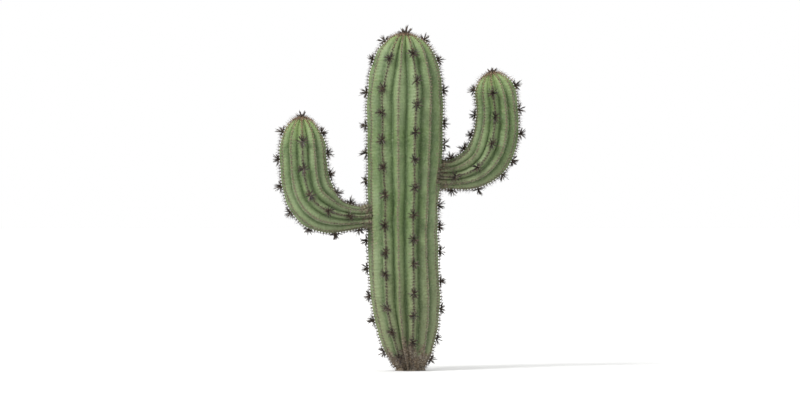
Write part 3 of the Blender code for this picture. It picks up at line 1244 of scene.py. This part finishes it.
@dataclass(frozen=True)
class SkinMesh:
    """The skin of one limb as a closed mesh with its relief.

    Its finish reads how far along the limb the fresh crown and the aged foot reach, and how wide
    the halo round each areole is.
    """

    limb: Limb
    row_step: float
    columns_per_rib: int = 12
    crown_reach: Range = (0.02, 0.42)
    age_start: float = 0.10
    age_share: float = 0.55
    halo_width: float = 0.16
    halo_sharpness: int = 6
    foot_disc: float = 0.05
    foot_rim: float = 0.94

    def build(self, slot: str, nodes: tuple[str, ...], finish: SkinFinish) -> None:
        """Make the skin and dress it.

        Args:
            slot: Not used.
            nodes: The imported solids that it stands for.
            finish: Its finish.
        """
        limb = self.limb
        rows = int(limb.length / self.row_step)
        alongs = np.linspace(0.0, limb.length, rows + 1)[:-1]
        along, angle = np.meshgrid(alongs, self.angles(), indexing="ij")
        points = limb.surface(along, angle)[0]
        if isinstance(limb, Trunk):
            points[0, :, 2] = 0.0
            points[..., 2] = np.maximum(points[..., 2], 0.0)
        ends = np.stack((points[0].mean(axis=0), limb.track.middle[-1]))
        corners, counts = self.faces(rows, angle.shape[1])
        parts = MeshParts(np.concatenate((points.reshape(-1, 3), ends)), corners, counts)
        item = parts.piece(f"{limb.name}_skin", [finish.material(f"{limb.name}_skin_finish")])
        self.store(item.data, along, angle, points)
        self.unwrap(item.data, rows, angle.shape[1])
        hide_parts(*nodes)

    def angles(self) -> Array:
        """Space the columns round the limb, closer on the crests and in the grooves.

        Returns:
            The columns' angles.
        """
        share = np.arange(self.columns_per_rib) / self.columns_per_rib
        half = np.where(share < 0.5, share, 1.0 - share) * 2.0
        eased = 0.25 * (1.0 - np.cos(math.pi * half))
        eased = np.where(share < 0.5, eased, 1.0 - eased)
        turns = (np.arange(self.limb.ribs)[:, None] + eased[None, :]).ravel()
        return self.limb.first_crest + math.tau * turns / self.limb.ribs

    def faces(self, rows: int, columns: int) -> tuple[Array, Array]:
        """Join the grid of points up, with a fan at each end.

        Args:
            rows: How many rings of points there are.
            columns: How many points each ring has.

        Returns:
            The faces' corners in one run, and how many each face has.
        """
        across = np.arange(columns)
        beside = (across + 1) % columns
        level = (np.arange(rows - 1) * columns)[:, None]
        above = level + columns
        quads = np.stack((level + across, level + beside, above + beside, above + across), axis=-1)
        last = (rows - 1) * columns
        foot = np.full(columns, rows * columns)
        foot_fan = np.stack((beside, across, foot), axis=-1)
        tip_fan = np.stack((last + across, last + beside, foot + 1), axis=-1)
        corners = np.concatenate((quads.ravel(), foot_fan.ravel(), tip_fan.ravel()))
        counts = np.concatenate((np.full(quads.size // 4, 4), np.full(2 * columns, 3)))
        return corners, counts

    def store(self, mesh: bpy.types.Mesh, along: Array, angle: Array, points: Array) -> None:
        """Keep on the mesh what its finish reads.

        Args:
            mesh: The skin's mesh.
            along: The grid's distances from the foot.
            angle: The grid's angles.
            points: The grid's points.
        """
        limb = self.limb
        rib, off_crest = limb.rib_place(angle)
        near = 0.5 + 0.5 * np.cos(math.tau * limb.phase(along, rib))
        values = {
            Mark.GROOVE: off_crest,
            Mark.CROWN: 1.0 - smooth_step(limb.length - along, *self.crown_reach),
            Mark.AGE: 1.0 - smooth_step(along, self.age_start, self.age_share * limb.length),
            Mark.CORK: limb.corkiness(points),
            Mark.HALO: near**self.halo_sharpness * np.exp(-((off_crest / self.halo_width) ** 2)),
        }
        for mark, value in values.items():
            held = mesh.attributes.new(mark.value, "FLOAT", "POINT")
            ends = (value[0].mean(), value[-1].mean())
            held.data.foreach_set("value", np.concatenate((value.ravel(), ends)).astype(np.float32))

    def unwrap(self, mesh: bpy.types.Mesh, rows: int, columns: int) -> None:
        """Lay the skin out flat: up the limb runs up the sheet, and its foot is a small disc.

        Args:
            mesh: The skin's mesh.
            rows: How many rings of points it has.
            columns: How many points each ring has.
        """
        disc = self.foot_disc
        across = np.arange(columns)
        left = across / columns
        right = (across + 1) / columns
        climb = disc + (1.0 - disc) * np.arange(rows + 1) / rows
        lefts, rights, low, high = np.broadcast_arrays(left, right, climb[:-2, None], climb[1:-1, None])
        side = np.stack((lefts, low, rights, low, rights, high, lefts, high), axis=-1)
        rim = 0.5 * disc * (1.0 + self.foot_rim * ring_points(columns))
        centre = np.full((columns, 2), 0.5 * disc)
        foot = np.stack((np.roll(rim, -1, axis=0), rim, centre), axis=1)
        peak = np.full(columns, climb[-1])
        under = np.full(columns, climb[-2])
        tip = np.stack((left, under, right, under, 0.5 * (left + right), peak), axis=-1)
        sheet = mesh.uv_layers.new(name="OFBake")
        flat = np.concatenate((side.ravel(), foot.ravel(), tip.ravel()))
        sheet.data.foreach_set("uv", flat.astype(np.float32))


@dataclass
class Areoles:
    """The spine-bearing pads of one limb: where they are and how they face.

    Star marks the ones that carry a star of long spines, and strong those on the ribs that have stars.
    """

    CLIMB_STEP: ClassVar[float] = 0.004
    FOOT_GAP: ClassVar[float] = 0.03
    COVER_MARGIN: ClassVar[float] = 0.004

    points: Array
    facing: Array
    climb: Array
    from_tip: Array
    star: Array
    strong: Array

    @classmethod
    def of(cls, limb: Limb, others: list[Limb]) -> "Areoles":
        """Place a limb's areoles on its crests.

        Args:
            limb: The limb that carries them.
            others: The limbs that may cover some of them, which are then left out.

        Returns:
            The areoles.
        """
        along = np.concatenate(limb.rows)
        rib = np.concatenate([np.full(len(row), index) for index, row in enumerate(limb.rows)])
        angle = limb.crest_angles(rib)
        points, facing = limb.surface(along, angle)
        climb = limb.surface(along + cls.CLIMB_STEP, angle)[0] - points
        climb = unit(climb - facing * (climb * facing).sum(axis=1, keepdims=True))
        star = np.concatenate([cls.stars(limb, index) for index in range(limb.ribs)])
        strong = np.isin(rib, list(limb.star_rows))
        placed = cls(points, facing, climb, np.concatenate(limb.tip_ways), star, strong)
        keep = along > cls.FOOT_GAP
        for other in others:
            keep &= ~other.holds(points, cls.COVER_MARGIN)
        return placed.part(keep)

    @staticmethod
    def stars(limb: Limb, rib: int) -> Array:
        """Find the areoles of a row that carry a star of long spines.

        Args:
            limb: The limb.
            rib: The row's rib.

        Returns:
            True for each areole that does.
        """
        ways = limb.tip_ways[rib]
        star = np.zeros(len(ways), dtype=bool)
        for way in limb.star_rows.get(rib, ()):
            star[np.argmin(np.abs(ways - way))] = True
        return star

    def part(self, mask: Array) -> "Areoles":
        """Return the areoles that a mask picks."""
        held = (self.points, self.facing, self.climb, self.from_tip, self.star, self.strong)
        return Areoles(*(values[mask] for values in held))

    def across(self) -> Array:
        """Return the directions across the rib."""
        return np.cross(self.climb, self.facing)

    def above(self, owners: Array, height: float) -> Array:
        """Return the places at a height above the skin on some of the areoles."""
        return self.points[owners] + self.facing[owners] * height

    def youth(self, reach: Range) -> Array:
        """Return how young the areoles are: 1 at the tip, 0 past the reach."""
        return 1.0 - smooth_step(self.from_tip, *reach)


def keep_inside(roots: Array, ways: Array) -> Array:
    """Lay flatter the spines that would stand too far out of the solids' box, or in the ground.

    Args:
        roots: Where the spines start.
        ways: From each root to its tip.

    Returns:
        The ways, as long as before.
    """
    ways = ways.copy()
    lengths = np.linalg.norm(ways, axis=1)
    for axis in (0, 1, 2):
        spare = PROUD_SHARE * (CAD_HIGH[axis] - CAD_LOW[axis]) + PROUD_EXTRA
        lowest = GROUND_CLEARANCE if axis == 2 else CAD_LOW[axis] - spare
        tips = np.clip(roots[:, axis] + ways[:, axis], lowest, CAD_HIGH[axis] + spare)
        limited = np.clip(tips - roots[:, axis], -lengths, lengths)
        others = [index for index in range(3) if index != axis]
        rest = np.linalg.norm(ways[:, others], axis=1)
        wanted = np.sqrt(np.maximum(lengths**2 - limited**2, 0.0))
        ways[:, others] *= (wanted / np.maximum(rest, NO_REST))[:, None]
        ways[:, axis] = limited
    return ways


@dataclass(frozen=True)
class SpineForm:
    """The build of a kind of spine: its sides, and its girth at shares of its length."""

    STEEPEST: ClassVar[float] = 0.9

    sides: int
    girths: tuple[tuple[float, float], ...]

    def parts(self, spines: "Spines") -> MeshParts:
        """Make many spines as one set of faces.

        Args:
            spines: The spines.

        Returns:
            The joined faces, in the spines' order.
        """
        along = unit(spines.ways)
        aside = np.where(np.abs(along[:, 2:3]) < self.STEEPEST, UP, FRONT)
        first = unit(np.cross(aside, along))
        second = np.cross(along, first)
        ring = swing(first[:, None], second[:, None], circle(self.sides))
        rings = []
        for share, girth in self.girths:
            middle = spines.roots + spines.ways * share + spines.bows * (4.0 * share * (1.0 - share))
            rings.append(middle[:, None] + ring * (spines.widths * girth)[:, None, None])
        rings.append((spines.roots + spines.ways)[:, None])
        faces = pointed_tube(self.sides, len(self.girths))
        on_point = np.array([int(len(face) == 3) for face in faces])
        return MeshParts.repeated(faces, np.concatenate(rings, axis=1), spines.tones[:, on_point])


FINE_SPINE = SpineForm(3, ((0.0, 1.0), (0.5, 0.72)))
STOUT_SPINE = SpineForm(5, ((0.0, 1.0), (0.12, 1.08), (0.50, 0.94), (0.85, 0.60)))
HAIR = SpineForm(3, ((0.0, 1.0),))


@dataclass
class Spines:
    """Many spines as arrays: roots, ways to their tips, half thicknesses, bows, and two tones each."""

    BOW_SHARE: ClassVar[float] = 0.03

    roots: Array
    ways: Array
    widths: Array
    tones: Array
    bows: Array = field(init=False)

    def __post_init__(self) -> None:
        """Start with straight spines that keep inside the room there is."""
        self.ways = keep_inside(self.roots, self.ways)
        self.bows = np.zeros_like(self.ways)

    def __add__(self, more: "Spines") -> "Spines":
        """Return both sets as one."""
        held = ("roots", "ways", "widths", "tones")
        return Spines(*(np.concatenate((getattr(self, name), getattr(more, name))) for name in held))

    def part(self, pick: slice) -> "Spines":
        """Take a run of the spines.

        Args:
            pick: Which.

        Returns:
            Those spines.
        """
        taken = Spines(self.roots[pick], self.ways[pick], self.widths[pick], self.tones[pick])
        taken.bows = self.bows[pick]
        return taken

    def bend(self, chance: Chance) -> None:
        """Bow the spines by lot."""
        lengths = np.linalg.norm(self.ways, axis=1, keepdims=True)
        self.bows = chance.normal(size=self.ways.shape) * lengths * self.BOW_SHARE

    def pieces(self, name: str, form: SpineForm, slot: str) -> list[bpy.types.Object]:
        """Join the spines into as few pieces as the triangle limit allows.

        Args:
            name: The pieces' name, which gets a number where there are several.
            form: The build of the spines.
            slot: Not used.

        Returns:
            The pieces.
        """
        each = form.parts(self.part(slice(0, 1))).triangles()
        count = len(self.roots)
        groups = max(1, math.ceil(count * each / MOST_TRIANGLES))
        made = []
        for index in range(groups):
            pick = slice(index * count // groups, (index + 1) * count // groups)
            label = name if groups == 1 else f"{name}_{index + 1}"
            made.append(form.parts(self.part(pick)).piece(label, [tone.material() for tone in TONES]))
        return made


@dataclass(frozen=True)
class SpineWhorl:
    """A ring of spines round an areole's middle, with lengths in metres and lifts in degrees.

    Each of its rays is a bundle of spines that fan out by a share of their length.
    """

    count: int
    lift: Range
    length: Range
    width: float
    first_turn: float = 0.0
    unevenness: float = 0.16
    droop: float = 0.0
    bundle: int = 1
    fan: float = 0.0

    def ways(self, areoles: Areoles, chance: Chance) -> tuple[Array, Array]:
        """Point the whorl's spines.

        Args:
            areoles: The areoles that carry the whorl.
            chance: The source of its unevenness.

        Returns:
            The ways in metres, and the numbers of the areoles that they grow from.
        """
        owners = np.repeat(np.arange(len(areoles.points)), self.count)
        number = np.tile(np.arange(self.count), len(areoles.points))
        turn = self.first_turn + math.tau * number / self.count
        turn = turn + chance.normal(size=len(owners)) * self.unevenness
        lift = np.radians(chance.uniform(*self.lift, len(owners)))
        length = chance.uniform(*self.length, len(owners)) * (1.0 - self.droop * np.cos(turn))
        flat = swing(areoles.climb[owners], areoles.across()[owners], turn)
        ray = swing(flat, areoles.facing[owners], lift)
        ways = np.repeat(ray * length[:, None], self.bundle, axis=0)
        ways += chance.normal(size=ways.shape) * np.repeat(length, self.bundle)[:, None] * self.fan
        return ways, np.repeat(owners, self.bundle)


@dataclass(frozen=True)
class FeltPad:
    """The felted pad of an areole: a low dome, wider across its shoulder than at its top.

    Its size is across the rib, along it and out of the skin. Pads are smaller near the limb's tip
    and larger under a star.
    """

    size: tuple[float, float, float] = (0.0062, 0.0078, 0.0038)
    size_spread: Range = (0.8, 1.2)
    star_scale: float = 1.9
    tip_scale: float = 0.55
    tip_reach: Range = (0.03, 0.20)
    wool_reach: Range = (0.02, 0.30)
    segments: int = 8
    sunk: float = 0.4
    shoulder_width: float = 0.72
    shoulder_height: float = 0.62

    def dome(self) -> Array:
        """Return the points of one pad of size 1, ring by ring, and then its top.

        Returns:
            The points, with the skin at 0 on the last axis.
        """
        ring = ring_points(self.segments)
        low = np.column_stack((ring, np.full(self.segments, -self.sunk)))
        high = np.column_stack((ring * self.shoulder_width, np.full(self.segments, self.shoulder_height)))
        return np.concatenate((low, high, ((0.0, 0.0, 1.0),)))

    def parts(self, areoles: Areoles, chance: Chance) -> MeshParts:
        """Make the pads of many areoles.

        Args:
            areoles: The areoles.
            chance: The source of the pads' unevenness.

        Returns:
            The joined faces.
        """
        count = len(areoles.points)
        scale = chance.uniform(*self.size_spread, (count, 3)) * np.array(self.size)
        scale *= np.where(areoles.star, self.star_scale, 1.0)[:, None]
        grown = smooth_step(areoles.from_tip, *self.tip_reach)
        scale *= (self.tip_scale + (1.0 - self.tip_scale) * grown)[:, None]
        axes = np.stack((areoles.across(), areoles.climb, areoles.facing), axis=1)
        points = np.einsum("nvk,nkc->nvc", self.dome()[None] * scale[:, None], axes)
        young = chance.random(count) < areoles.youth(self.wool_reach)
        tone = np.where(young, TONES.index(Tone.WOOL), TONES.index(Tone.FELT))
        faces = pointed_tube(self.segments, 2)
        return MeshParts.repeated(faces, points + areoles.points[:, None], np.repeat(tone, len(faces)))


@dataclass(frozen=True)
class AreoleDress:
    """Puts felt and spines on a limb's areoles."""

    limb: Limb
    slot: str
    radials: SpineWhorl = SpineWhorl(12, (10.0, 32.0), (0.019, 0.030), 0.00090, 0.26, droop=0.20)
    centrals: SpineWhorl = SpineWhorl(4, (44.0, 80.0), (0.026, 0.044), 0.00110, math.pi, 0.40, 0.15)
    star_spread: SpineWhorl = SpineWhorl(8, (8.0, 24.0), (0.060, 0.071), 0.0020, 0.2, 0.12, 0.0, 5, 0.09)
    star_heart: SpineWhorl = SpineWhorl(5, (30.0, 80.0), (0.062, 0.080), 0.0022, 0.6, 0.22, 0.0, 5, 0.10)
    pad: FeltPad = FeltPad()
    strong_scale: float = 1.4
    strong_reach: float = 1.12
    young_reach: Range = (0.05, 0.40)
    root_height: float = 0.0016
    star_root_height: float = 0.003

    def build(self, others: list[Limb]) -> None:
        """Dress the limb.

        Args:
            others: The limbs that may cover some of this limb's areoles.
        """
        areoles = Areoles.of(self.limb, others)
        LOG.info("%s: %d areoles, %d with a star", self.limb.name, len(areoles.points), areoles.star.sum())
        self.common_spines(areoles.part(~areoles.star))
        self.star_spines(areoles.part(areoles.star))
        pads = self.pad.parts(areoles, self.limb.lots(Lot.PADS))
        item = pads.piece(f"{self.limb.name}_felt_pads", [tone.material() for tone in TONES])

    def common_spines(self, areoles: Areoles) -> None:
        """Make the short spines, which are darker, stouter and longer on the ribs that have stars.

        Args:
            areoles: The common areoles.
        """
        chance = self.limb.lots(Lot.SPINES)
        batches = []
        for whorl in (self.radials, self.centrals):
            ways, owners = whorl.ways(areoles, chance)
            strong = areoles.strong[owners]
            tones = self.common_tones(chance, strong, areoles.youth(self.young_reach)[owners])
            widths = whorl.width * np.where(strong, self.strong_scale, 1.0)
            ways *= np.where(strong, self.strong_reach, 1.0)[:, None]
            batches.append(Spines(areoles.above(owners, self.root_height), ways, widths, tones))
        spines = batches[0] + batches[1]
        spines.bend(self.limb.lots(Lot.SPINE_BOWS))
        spines.pieces(f"{self.limb.name}_spines", FINE_SPINE, self.slot)

    def common_tones(self, chance: Chance, strong: Array, youth: Array) -> Array:
        """Draw the short spines' tones: straw and rust when young, grey and brown when old.

        Args:
            chance: The source of the lots.
            strong: True for each spine on a rib that has stars.
            youth: How young each spine is, 0 to 1.

        Returns:
            Two tones for each spine: its shaft's and its point's.
        """
        count = len(strong)
        old = Palette.OLD_SHAFT.draw(chance, count)
        old = np.where(strong, Palette.STRONG_SHAFT.draw(chance, count), old)
        new = Palette.YOUNG_SHAFT.draw(chance, count)
        shaft = np.where(chance.random(count) < youth, new, old)
        return np.stack((shaft, Palette.POINT.draw(chance, count)), axis=1)

    def star_spines(self, areoles: Areoles) -> None:
        """Make the long, stout, dark spines of the stars.

        Args:
            areoles: The areoles that carry a star.
        """
        chance = self.limb.lots(Lot.STARS)
        batches = []
        for whorl in (self.star_spread, self.star_heart):
            ways, owners = whorl.ways(areoles, chance)
            count = len(owners)
            shaft = Palette.STAR_SHAFT.draw(chance, count)
            tones = np.stack((shaft, Palette.STAR_POINT.draw(chance, count)), axis=1)
            roots = areoles.above(owners, self.star_root_height)
            batches.append(Spines(roots, ways, np.full(count, whorl.width), tones))
        spines = batches[0] + batches[1]
        spines.bend(self.limb.lots(Lot.STAR_BOWS))
        spines.pieces(f"{self.limb.name}_stars", STOUT_SPINE, self.slot)


@dataclass(frozen=True)
class CrownTuft:
    """The wool and the long young spines that stand on a limb's crown.

    Leaders gives each bundle of the longest spines: how far its tip is to the right of the crown,
    behind it and above it. The short spines round them lean out, by degrees from the crown's axis.
    """

    limb: Limb
    slot: str
    height: float
    leaders: tuple[Offset, ...]
    sink: float = 0.002
    bundle: int = 14
    leader_width: float = 0.0023
    leader_length: Range = (0.84, 1.0)
    leader_fan: float = 0.075
    leader_root: float = 0.004
    leader_jitter: float = 0.0028
    spines: int = 44
    short_width: float = 0.0015
    short_length: Range = (0.42, 0.80)
    short_lean: Range = (6.0, 50.0)
    short_root: Range = (0.002, 0.024)
    lean_loss: float = 0.35
    hairs: int = 900
    hair_width: float = 0.0011
    hair_length: Range = (0.008, 0.015)
    hair_tangle: float = 0.35
    hair_root: float = 0.003
    wool_radius: float = 0.045
    wool_drop: float = 0.10

    def axes(self) -> tuple[Array, Array, Array]:
        """Return the directions across, to the front of and out of the crown."""
        across = unit(np.cross(self.limb.tip_direction(), FRONT))
        return across, np.cross(across, self.limb.tip_direction()), self.limb.tip_direction()

    def build(self, node: str) -> None:
        """Make the tuft's spines and wool.

        Args:
            node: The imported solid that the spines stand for.
        """
        chance = self.limb.lots(Lot.TUFT)
        tip = self.limb.track.middle[-1]
        across, front, upward = self.axes()
        lean = np.radians(chance.uniform(*self.short_lean, self.spines))
        level = swing(across, front, chance.uniform(0.0, math.tau, self.spines))
        length = self.height * chance.uniform(*self.short_length, self.spines)
        length = length * (1.0 - self.lean_loss * np.sin(lean))
        base = tip - upward * self.sink
        roots = base + level * chance.uniform(*self.short_root, self.spines)[:, None]
        ways = swing(upward, level, lean) * length[:, None]
        spines = Spines(roots, ways, np.full(self.spines, self.short_width), self.tones(chance, self.spines))
        lead = np.repeat(np.array(self.leaders), self.bundle, axis=0)
        count = len(lead)
        lead *= chance.uniform(*self.leader_length, count)[:, None]
        spread = np.linalg.norm(lead, axis=1, keepdims=True) * self.leader_fan
        lead += chance.normal(size=(count, 3)) * spread
        jitter = chance.normal(size=(count, 3)) * self.leader_jitter
        roots = base + unit(lead) * self.leader_root + jitter
        spines += Spines(roots, lead, np.full(count, self.leader_width), self.tones(chance, count))
        spines.bend(self.limb.lots(Lot.TUFT_BOWS))
        for item in spines.pieces(f"{self.limb.name}_crown_spines", STOUT_SPINE, self.slot):
            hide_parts(node)
        self.wool(chance, tip)

    def tones(self, chance: Chance, count: int) -> Array:
        """Return the tones of some spines' shafts and points, drawn by lot."""
        shaft = Palette.TUFT_SHAFT.draw(chance, count)
        return np.stack((shaft, Palette.TUFT_POINT.draw(chance, count)), axis=1)

    def wool(self, chance: Chance, tip: Array) -> None:
        """Make the mat of short wool on the crown.

        Args:
            chance: The source of its unevenness.
            tip: The crown's middle.
        """
        across, front, upward = self.axes()
        away = self.wool_radius * np.sqrt(chance.random(self.hairs))
        level = swing(across, front, chance.uniform(0.0, math.tau, self.hairs))
        drop = self.wool_drop * away**2 / self.wool_radius + self.hair_root
        roots = tip + level * away[:, None] - upward * drop[:, None]
        jitter = chance.normal(size=(self.hairs, 3)) * self.hair_tangle
        ways = unit(upward + level * (away / self.wool_radius)[:, None] + jitter)
        ways *= chance.uniform(*self.hair_length, self.hairs)[:, None]
        tones = np.full((self.hairs, 2), TONES.index(Tone.WOOL))
        hairs = Spines(roots, ways, np.full(self.hairs, self.hair_width), tones)
        hairs.pieces(f"{self.limb.name}_crown_wool", HAIR, self.slot)


@dataclass(frozen=True)
class SoftSun:
    """A broad, far light: its strength, and its spread, its height and its bearing in degrees."""

    name: str
    strength: float
    spread: float
    rise: float
    bearing: float

    def hang(self) -> None:
        """Hang the light."""
        light = bpy.data.lights.new(self.name, "SUN")
        light.energy = self.strength
        light.angle = math.radians(self.spread)
        item = bpy.data.objects.new(self.name, light)
        item.rotation_euler = (math.radians(90.0 - self.rise), 0.0, math.radians(self.bearing))
        bpy.context.scene.collection.objects.link(item)


@dataclass(frozen=True)
class Studio:
    """The pale floor, the soft light and the camera."""

    view_width: float = 7.642
    view_centre: tuple[float, float] = (-0.0984, 1.6286)
    lens: float = 200.0
    sensor: float = 36.0
    farthest: float = 500.0
    floor_size: float = 400.0
    floor_drop: float = 0.0005
    floor_colour: Colour = (0.62, 0.62, 0.615)
    floor_roughness: float = 0.9
    floor_sheen: float = 0.1
    sky_colour: Colour = (1.0, 1.0, 1.0)
    sky_strength: float = 1.0
    suns: tuple[SoftSun, ...] = (
        SoftSun("key", 3.4, 20.0, 44.0, -46.0),
        SoftSun("fill", 0.5, 60.0, 30.0, 62.0),
        SoftSun("rear", 1.1, 50.0, 34.0, 158.0),
    )

    def build(self) -> None:
        """Set up everything round the plant."""
        self.floor()
        for sun in self.suns:
            sun.hang()
        self.sky()
        self.camera()
        bpy.context.scene.view_settings.view_transform = "Standard"

    def floor(self) -> None:
        """Lay the floor."""
        half = 0.5 * self.floor_size
        mesh = bpy.data.meshes.new("floor")
        corners = [(-half, -half, 0.0), (half, -half, 0.0), (half, half, 0.0), (-half, half, 0.0)]
        mesh.from_pydata(corners, [], [(0, 1, 2, 3)])
        item = bpy.data.objects.new("floor", mesh)
        item.location.z = -self.floor_drop
        bpy.context.scene.collection.objects.link(item)
        bench = NodeBench("floor_finish")
        bench.plain(self.floor_colour, self.floor_roughness, self.floor_sheen)
        mesh.materials.append(bench.material)

    def sky(self) -> None:
        """Set an even sky."""
        world = bpy.data.worlds.new("sky")
        world.use_nodes = True
        sky = world.node_tree.nodes["Background"]
        sky.inputs["Color"].default_value = (*self.sky_colour, 1.0)
        sky.inputs["Strength"].default_value = self.sky_strength
        bpy.context.scene.world = world

    def camera(self) -> None:
        """Stand the camera level, straight in front of the plant."""
        data = bpy.data.cameras.new("camera")
        data.lens = self.lens
        data.sensor_width = self.sensor
        data.clip_end = self.farthest
        item = bpy.data.objects.new("camera", data)
        across, height = self.view_centre
        item.location = (across, -self.lens / self.sensor * self.view_width, height)
        item.rotation_euler = (math.radians(90.0), 0.0, 0.0)
        bpy.context.scene.collection.objects.link(item)
        bpy.context.scene.camera = item


def evenly(first: float, spacing: float, last: float) -> tuple[float, ...]:
    """Return ways that are about evenly spaced from the first to the last."""
    ways = np.arange(first, last, spacing)
    return tuple((ways + STAR_WOBBLE * np.sin(STAR_WOBBLE_RATE * ways)).tolist())


def make_trunk() -> Trunk:
    """Set out the trunk.

    Returns:
        The trunk.
    """
    front_left_bearing = -36.9
    front_right_bearing = 14.5
    left_foot = ((0.20, 10.0), (0.67, 5.0), (1.20, 8.0), (1.63, 8.0))
    left_crown = ((2.10, 1.0), (2.60, 0.5), (3.05, 11.0))
    right_foot = ((0.20, -6.0), (0.60, -2.5), (1.20, 2.5), (1.63, 2.5))
    right_crown = ((2.15, 0.0), (2.70, 4.0), (3.05, -2.0))
    return Trunk(
        name="trunk",
        ribs=14,
        rib_depth=0.165,
        first_crest=math.radians(front_right_bearing),
        facing=0.0,
        star_rows={
            0: (0.37, 0.63, 0.86, 1.13, 1.38, 1.65, 1.91, 2.14, 2.37, 2.65, 2.86, 3.12),
            3: (0.19, 0.42, 0.71, 1.02, 1.24, 1.52, 1.80, 2.02, 2.26, 2.53, 2.81, 3.09, 3.29),
            5: evenly(0.30, 0.26, 3.3),
            8: evenly(0.18, 0.26, 3.3),
            10: (0.205, 0.42, 0.72, 1.06, 1.30, 1.58, 1.85, 2.14, 2.40, 2.66, 2.91, 3.22),
            12: (0.41, 0.70, 0.93, 1.19, 1.45, 1.71, 2.00, 2.26, 2.48, 2.78, 3.01, 3.28),
        },
        seed=3,
        courses=(
            RibCourse(front_left_bearing, left_foot + left_crown),
            RibCourse(front_right_bearing, right_foot + right_crown),
        ),
    )


def make_arms(trunk: Trunk) -> tuple[Arm, Arm]:
    """Set out the arms.

    Args:
        trunk: The trunk that they leave.

    Returns:
        The left arm and the right arm.
    """
    turn = math.radians(12.0)
    left_neck = 1.494
    right_neck = 1.885
    left_arm = Arm(
        name="left_arm",
        facing=math.pi + turn,
        star_rows={
            0: evenly(0.20, 0.25, 1.5),
            3: (0.24, 0.49, 0.76, 1.00, 1.23, 1.50, 1.73),
            6: (0.33, 0.59, 0.84, 1.09, 1.32),
            9: (0.24, 0.45, 0.66, 0.84, 1.02),
        },
        seed=5,
        neck_height=left_neck,
        neck_radius=0.103,
        elbow_radius=0.237,
        end_radius=0.222,
        neck_heading=-7.2,
        arcs=((0.19, -7.2), (0.25, 7.2), (0.22, 36.0), (0.22, 73.8), (0.22, 86.0), (0.462, 89.0)),
        growth_length=0.592,
        growth_power=2.04,
        slimming_start=0.70,
        dome_height=0.34,
        axis_offset=float(trunk.middle_offset(np.array(left_neck))),
        twist=Twist(4.0, -11.0, 0.40, 0.95),
    )
    right_arm = Arm(
        name="right_arm",
        facing=turn,
        star_rows={
            0: (0.30, 0.53, 0.79, 1.04, 1.27),
            3: (0.28, 0.50, 0.73, 1.00, 1.18, 1.43, 1.69),
            6: evenly(0.20, 0.25, 1.5),
            9: (0.225, 0.46, 0.69, 0.84, 1.02),
        },
        seed=8,
        neck_height=right_neck,
        neck_radius=0.134,
        elbow_radius=0.223,
        end_radius=0.200,
        neck_heading=-2.8,
        arcs=((0.22, -2.8), (0.25, 18.8), (0.25, 55.0), (0.25, 83.5), (0.25, 96.0), (0.31, 104.0)),
        growth_length=0.576,
        growth_power=1.34,
        slimming_start=0.72,
        dome_height=0.22,
        axis_offset=float(trunk.middle_offset(np.array(right_neck))),
        twist=Twist(9.0, -20.0, 0.20, 0.98),
    )
    return left_arm, right_arm


def build_tufts(trunk: Trunk, left_arm: Arm, right_arm: Arm) -> None:
    """Set a tuft on each crown.

    Args:
        trunk: The trunk.
        left_arm: The left arm.
        right_arm: The right arm.
    """
    trunk_left = ((-0.073, 0.012, 0.048), (-0.037, -0.018, 0.074))
    trunk_right = ((0.024, 0.006, 0.108), (0.065, 0.015, 0.077))
    trunk_rest = ((0.004, -0.064, 0.046), (-0.012, 0.058, 0.056), (0.034, 0.052, 0.038))
    left_fan = ((-0.058, 0.008, 0.042), (-0.017, -0.010, 0.072), (0.035, 0.006, 0.075))
    left_rest = ((0.002, -0.052, 0.036), (0.010, 0.050, 0.042))
    right_fan = ((-0.037, -0.006, 0.048), (0.008, 0.010, 0.059), (0.055, -0.004, 0.055))
    right_rest = ((0.014, -0.050, 0.026), (0.004, 0.050, 0.034))
    tufts = (
        (trunk, 0.090, trunk_left + trunk_right + trunk_rest),
        (left_arm, 0.070, left_fan + left_rest),
        (right_arm, 0.055, right_fan + right_rest),
    )
    for limb, height, leaders in tufts:
        tuft = CrownTuft(limb, f"{limb.name}_crown_tuft_spines", height, leaders)
        tuft.build(f"{limb.name}_crown_tuft")


def main() -> None:
    """Build the plant and the studio round it."""
    logging.basicConfig(level=logging.INFO, format="%(message)s")
    trunk_row_step = 0.0064
    arm_row_step = 0.0055
    trunk = make_trunk()
    arms = make_arms(trunk)
    finish = SkinFinish()
    SkinMesh(trunk, trunk_row_step).build("trunk_skin", ("trunk",), finish)
    for arm in arms:
        nodes = (f"{arm.name}_lower", f"{arm.name}_upper")
        SkinMesh(arm, arm_row_step).build(f"{arm.name}_upper_skin", nodes, finish)
    AreoleDress(trunk, "trunk_crown_tuft_spines").build(list(arms))
    for arm in arms:
        AreoleDress(arm, f"{arm.name}_crown_tuft_spines").build([trunk])
    build_tufts(trunk, *arms)
    Studio().build()


if __name__ == "__main__":
    main()
